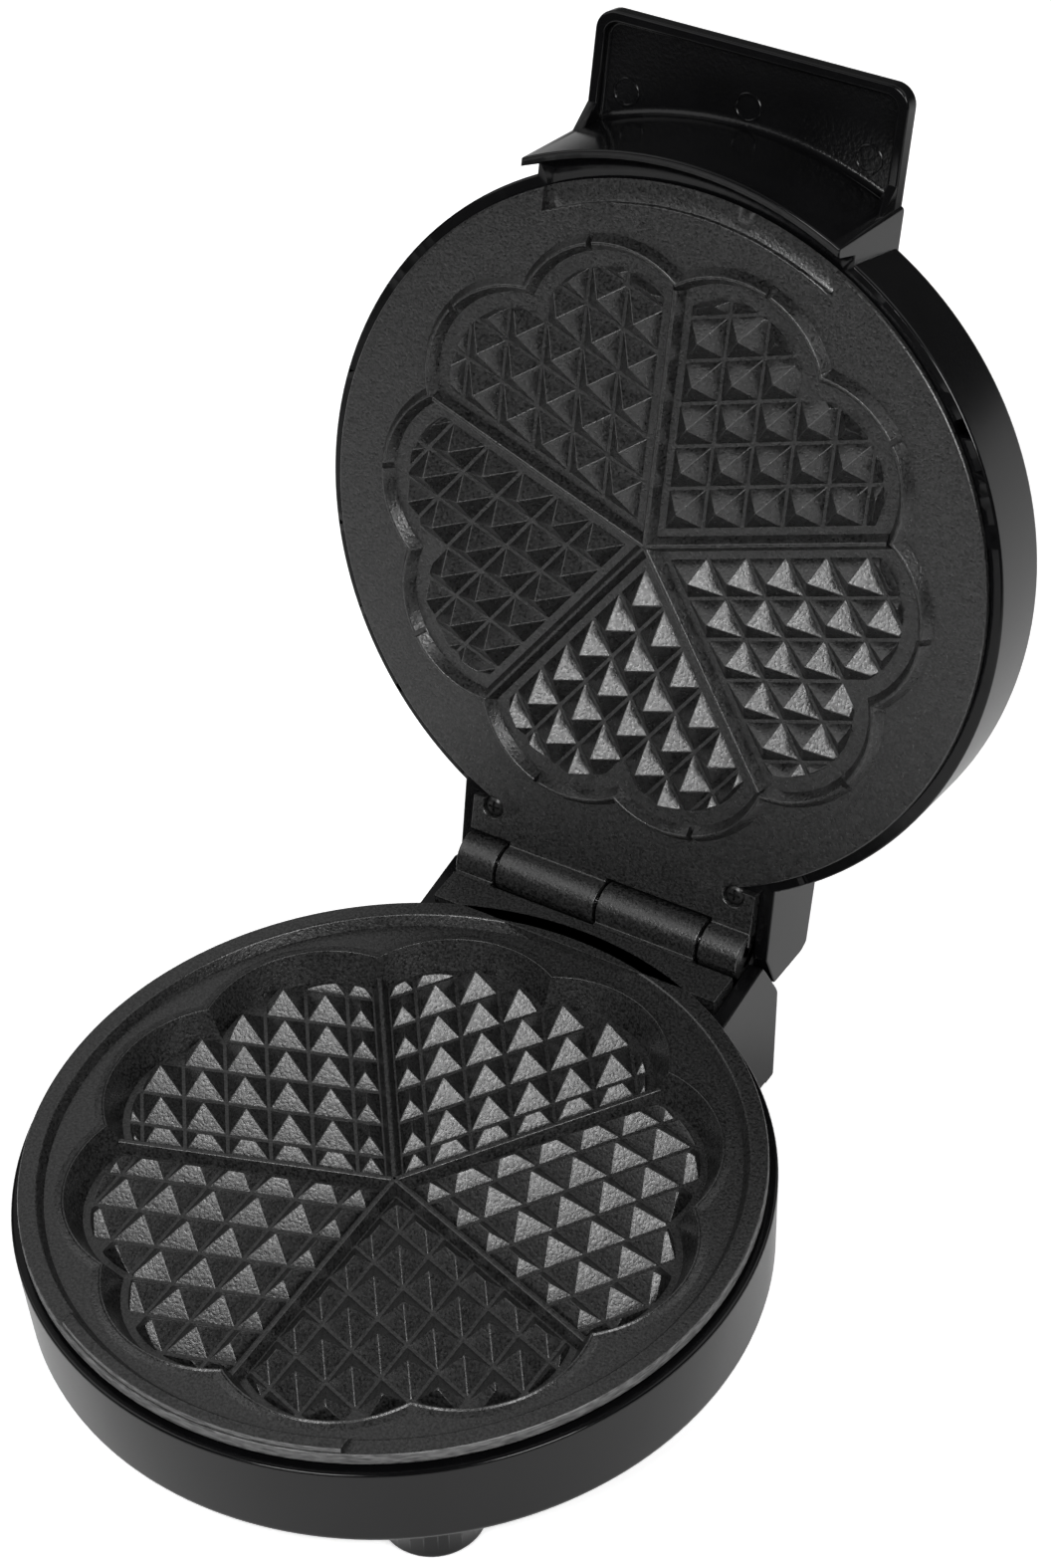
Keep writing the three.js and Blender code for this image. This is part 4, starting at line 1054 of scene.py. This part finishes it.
upper_plate = heart_wall("upper_plate_dressed", [
    (ridge_outer_radius, 0),
    (ridge_crest_radius + 0.35, ridge_height),
    (ridge_crest_radius - 0.35, ridge_height),
    (ridge_inner_radius, 0),
], rounds=[(1, 0.25), (2, 0.25)])
round_the_flower()
rim_loop(upper_plate, 0, farthest=ridge_crest_radius)
bpy.ops.mesh.edge_face_add()
weld(upper_plate)
upper_ring = turned("upper_ring", [
    (ring_foot_radius, 0),
    (plate_radius, 0),
    (plate_radius, -upper_edge),
    (back_step_radius, -upper_edge),
    (back_step_radius, -upper_thickness),
    (0, -upper_thickness),
], rounds=[(1, 0.7), (2, 0.4)], steps=240, corner_steps=3)
cast_together(upper_plate, [upper_ring])
edit_mode()
rim_loop(upper_plate, 0)
bpy.ops.mesh.mark_sharp()
bpy.ops.mesh.fill()
weld(upper_plate)
vents = []
for angle in lobe_angles():
    x, y = polar(lobe_distance + ridge_crest_radius, angle)
    bpy.ops.mesh.primitive_cube_add(
        size=1, location=placed(x, y, vent_floor + ridge_height / 2), rotation=(0, 0, angle),
        scale=(vent_length * mm, vent_width * mm, ridge_height * mm))
    apply_place()
    vents.append(bpy.context.object)
recess = turned("recess", [
    (recess_radius, -recess_depth),
    (plate_radius + 2, -recess_depth),
    (plate_radius + 2, 2),
    (recess_radius, 2),
    (recess_radius, -recess_depth),
], steps=240)
keep_front(recess, recess_half_width, -recess_depth - 2, 3)
combine(upper_plate, [*vents, recess], "DIFFERENCE")
upper_tab = block("upper_tab", (-tab_half_width, tab_front, -upper_thickness),
                  (tab_half_width, tab_end, 0))
soften(upper_tab, 0.4, steps=2)
sinks = []
for side in (-1, 1):
    sinks.append(turned("sink", [
        (0, -tab_screw_sink),
        (tab_screw_head + 0.2, -tab_screw_sink),
        (tab_screw_head + 0.2, -0.5),
        (tab_screw_head + 1.0, 0.3),
        (tab_screw_head + 1.0, 2),
        (0, 2),
    ], centre=(side * tab_screw_x, tab_screw_y), steps=64))
upper_barrels = barrels("upper_barrel", [0, 2], upper_face - hinge_rise, -upper_thickness, 0)
upper_ribs = flower_of_ribs("upper_ribs", upper_rib_half_width, 0.5, 0, ridge_height,
                            lobe_distance + 20)
upper_pyramids = flower_of_pyramids("upper_pyramids", rib_rows(4, 0, plate_radius), cell_lobe_radius, 0)
combine(upper_plate, [upper_tab], "UNION")
combine(upper_plate, sinks, "DIFFERENCE")
soften(upper_plate, 0, angle=19)
cast_together(upper_plate, [*upper_barrels, upper_ribs, upper_pyramids])
open_with_lid(upper_plate, face_down=True)
finish_piece(upper_plate, plate_coating, "lid", "plate_coating", "upper_plate")

# Upper heater and tab screws
# The upper plate has its own element and heat shield behind it. Two blackened cross-head
# screws through its tab, sunk below the face, fix the plate to the lid.

cover(dull_sheath, "upper_heater")
cover(plain_sheet, "upper_heat_shield")
cover(bright_zinc, *[f"upper_shield_screw_{number}" for number in (1, 2, 3)])
blackened_steel = rough_finish("blackened_steel", (0.03, 0.03, 0.03), 0.3, metallic=0.6)
tab_screw_spots = [(side * tab_screw_x, tab_screw_y) for side in (-1, 1)]
right_tab_screw = cross_screw("upper_tab_screw_1_dressed", tab_screw_spots[0], -0.35, -16,
                              tab_screw_head, 1.8, 1.8)
left_tab_screw = copied(right_tab_screw, "upper_tab_screw_2_dressed", *tab_screw_spots)
for number, screw in enumerate((right_tab_screw, left_tab_screw), start=1):
    open_with_lid(screw, face_down=True)
    finish_piece(screw, blackened_steel, "lid", "screw_black", f"upper_tab_screw_{number}")

# Lid housing
# The second moulding of glossy black plastic: a round bowl over the upper plate, a block at
# the back that meets the tower, a bump at the front whose apron covers the base's rim, and
# a flat tray-like handle, hollow from below, between two gussets.

lid_rim_radius = 107.1
lid_rim_foot = 5.7
lid_top_radius = 105.4
lid_top = 33.4
lid_top_round = 2.6
seam_step = 0.03  # between the tops of bowl, bump and tray, so that no two share a plane
lid_rim_round = 0.9
lid_wall = 2.6
lid_block_half_width = 52.1
bump_half_width = 49.0
bump_foot_radius = 113.4
bump_top_radius = 115.6
apron_foot = -4.5
apron_foot_inner = 111.2
apron_rim_inner = 109.7
tray_half_width = 48.2
tray_front = 138.3
tray_foot = 27.8
tray_floor = 30.5
tray_wall = 3.2
tray_corner = 6.0
tray_fillet_radius = 2.0
gusset_reach = 111.6
gusset_foot = 20.7
gusset_inset = 0.1
lens_x = 14.0
lens_y = -74.0
lens_radius = 3.4
ejector_marks = [(-37.7, -115.9), (37.7, -115.9), (0, -120.9)]
ejector_radius = 3.75


def tray_block(name, half_width, front, corner, low, high):
    """A plate with two round front corners, for the handle and for its hollow."""
    piece = block(name, (-half_width, -front, low), (half_width, -60, high))
    edit_mode()
    corners = [placed(side * half_width, -front, (low + high) / 2) for side in (-1, 1)]
    select_where(
        piece, lambda place: min((place - spot).length for spot in corners) < 0.1 * mm, "edges")
    bpy.ops.mesh.bevel(affect="EDGES", offset=corner * mm, segments=10, clamp_overlap=False)
    edit_mode(False)
    return piece


lid_housing = turned("lid_housing", [
    (0, lid_rim_foot),
    (lid_rim_radius, lid_rim_foot),
    (lid_top_radius, lid_top),
    (0, lid_top),
], rounds=[(1, lid_rim_round), (2, lid_top_round)])
lid_block = prism("lid_block", [
    (80, lid_rim_foot),
    (math.sqrt(lid_rim_radius ** 2 - lid_block_half_width ** 2), lid_rim_foot),
    (116.5, 7),
    (127.3, 14.8),
    (123.4, 30.8),
    (121.2, lid_top),
    (80, lid_top),
], lid_block_half_width, rounds=[(3, 0.6), (4, 0.6), (5, 0.6)])
soften(lid_block, 0.5)
bump = turned("bump", [
    (0, apron_foot),
    (bump_foot_radius, apron_foot),
    (bump_top_radius, lid_top - seam_step),
    (0, lid_top - seam_step),
], rounds=[(2, 1.2)])
keep_front(bump, bump_half_width, apron_foot - 1, lid_top + 1, 50)
soften(bump, 0.45)
tray = tray_block("tray", tray_half_width, tray_front, tray_corner, tray_foot, lid_top - 2 * seam_step)
tray_hollow = tray_block("tray_hollow", tray_half_width - tray_wall, tray_front - tray_wall,
                         tray_corner - 2, tray_foot - 1, tray_floor)
combine(tray, [tray_hollow], "DIFFERENCE")
gusset_outline = [
    (-gusset_reach, tray_foot + 1),
    (-gusset_reach, tray_foot),
    (-gusset_reach + tray_foot - gusset_foot, gusset_foot),
    (-60, gusset_foot),
    (-60, tray_foot + 1),
]
gussets = [
    prism("gusset", gusset_outline, tray_wall / 2 - gusset_inset,
          middle=side * (tray_half_width - tray_wall / 2))
    for side in (-1, 1)]
for gusset in gussets:
    soften(gusset, 0.5)
soften(tray, 0.8, steps=4)
combine(lid_housing, [lid_block, bump, tray, *gussets], "UNION")
lean = (apron_foot_inner - apron_rim_inner) / (lid_rim_foot - apron_foot)
under_apron = turned("under_apron", [
    (0, apron_foot - 1),
    (apron_foot_inner + lean, apron_foot - 1),
    (apron_rim_inner, lid_rim_foot + 0.05),
    (0, lid_rim_foot + 0.05),
])
lid_room = turned("lid_room", [
    (0, lid_rim_foot - 1),
    (housing_ledge_radius, lid_rim_foot - 1),
    (housing_ledge_radius, lid_rim_foot + lid_wall),
    (lid_rim_radius - lid_wall, lid_rim_foot + lid_wall),
    (lid_top_radius - lid_wall, lid_top - lid_wall),
    (0, lid_top - lid_wall),
])
bump_room = turned("bump_room", [
    (0, lid_rim_foot + lid_wall + 0.1),
    (bump_foot_radius - lid_wall, lid_rim_foot + lid_wall + 0.1),
    (bump_top_radius - lid_wall, lid_top - lid_wall - 0.1),
    (0, lid_top - lid_wall - 0.1),
])
keep_front(bump_room, bump_half_width - lid_wall, lid_rim_foot, lid_top, 70)
lens_holes = [
    rod("lens_hole", lens_radius + 0.4, (side * lens_x, lens_y, lid_top - lid_wall - 1),
        (side * lens_x, lens_y, lid_top + 1))
    for side in (-1, 1)]
combine(lid_housing, [under_apron, lid_room, bump_room, *lens_holes], "DIFFERENCE")
lid_barrel_room = rod("lid_barrel_room", barrel_room_radius,
                      (-cheek_half_width, hinge_y, hinge_rise), (cheek_half_width, hinge_y, hinge_rise))
lid_tab_room = block("lid_tab_room", (-cheek_half_width, tab_room_front, upper_face - 1),
                     (cheek_half_width, hinge_y, upper_face + upper_thickness + 0.4))
combine(lid_housing, [lid_barrel_room, lid_tab_room], "DIFFERENCE")
soften(lid_housing, 0, angle=35)
ejector_rings = [
    turned("ejector_ring", [
        (ejector_radius - 0.5, tray_floor + 0.2),
        (ejector_radius - 0.4, tray_floor - 0.2),
        (ejector_radius - 0.2, tray_floor - 0.37),
        (ejector_radius + 0.2, tray_floor - 0.37),
        (ejector_radius + 0.4, tray_floor - 0.2),
        (ejector_radius + 0.5, tray_floor + 0.2),
        (ejector_radius - 0.5, tray_floor + 0.2),
    ], centre=mark, steps=48)
    for mark in ejector_marks]
for ring in ejector_rings:
    soften(ring, 0)
wall_at_tray = bump_foot_radius + (bump_top_radius - bump_foot_radius) * (
    (tray_floor - apron_foot) / (lid_top - apron_foot))
fillet_arc = [math.radians(180 - 15 * step) for step in range(7)]
tray_fillet = turned("tray_fillet", [
    (wall_at_tray - 0.5, tray_floor + 0.3),
    (wall_at_tray - 0.5, tray_floor - tray_fillet_radius),
    *[(wall_at_tray + tray_fillet_radius * (1 + math.cos(turn)),
       tray_floor - tray_fillet_radius * (1 - math.sin(turn))) for turn in fillet_arc],
    (wall_at_tray + tray_fillet_radius, tray_floor + 0.3),
    (wall_at_tray - 0.5, tray_floor + 0.3),
], steps=240)
keep_front(tray_fillet, tray_half_width - tray_wall, tray_foot - 1, lid_top)
soften(tray_fillet, 0)
cast_together(lid_housing, [*ejector_rings, tray_fillet])
under_handle = []
for face in lid_housing.data.polygons:
    spot = (face.center - origin) / mm
    within_sides = abs(spot.x) < tray_half_width - tray_wall + 0.1
    behind_rim = spot.y > tray_wall - tray_front - 0.1
    above_edge = tray_floor - tray_fillet_radius - 0.1 < spot.z < tray_floor + 0.1
    before_wall = math.hypot(spot.x, spot.y) > wall_at_tray - 0.1
    if within_sides and behind_rim and above_edge and before_wall:
        under_handle.append(face.index)
open_with_lid(lid_housing)
finish_piece(lid_housing, gloss_black, "lid", "shell_black", "lid_shell")
pitted_black = shell_plastic("pitted_black_plastic", 0.2, 0.9)
lid_housing.data.materials.append(pitted_black)
for index in under_handle:
    lid_housing.data.polygons[index].material_index = 1

# Lamps and lenses
# Two neon lamps stand on a small board under the lid's top. Each shines through a domed lens
# of translucent plastic, red for power and green for ready.

black_board = rough_finish("black_board", (0.02, 0.02, 0.022), 0.5)
clear_bulb = rough_finish("clear_bulb", (0.8, 0.45, 0.25), 0.1, spread=0.1, relief=0)
cover(black_board, "lamp_board")
cover(clear_bulb, "power_lamp", "ready_lamp")


def lens_plastic(name, colour):
    """Clear tinted plastic over a lamp, slightly cloudy inside."""
    material = rough_finish(name, colour, 0.12, spread=0.12, relief=0)
    shader = material.node_tree.nodes["Principled BSDF"]
    shader.inputs["Transmission Weight"].default_value = 0.35
    return material


red_lens = lens_plastic("red_lens", (0.35, 0.012, 0.008))
green_lens = lens_plastic("green_lens", (0.01, 0.22, 0.03))
for side, node, material, slot in (
        (-1, "power_lens", red_lens, "lens_red"),
        (1, "ready_lens", green_lens, "lens_green")):
    lens = turned(node + "_dressed", [
        (0, lid_top + 1.2),
        (1.4, lid_top + 1.1),
        (2.6, lid_top + 0.7),
        (lens_radius, lid_top - 0.1),
        (lens_radius, lid_top - lid_wall),
        (0, lid_top - lid_wall),
    ], rounds=[(1, 0.5), (2, 0.5), (3, 0.2)], centre=(side * lens_x, lens_y), steps=64)
    soften(lens, 0)
    open_with_lid(lens)
    finish_piece(lens, material, "lid", slot, node)
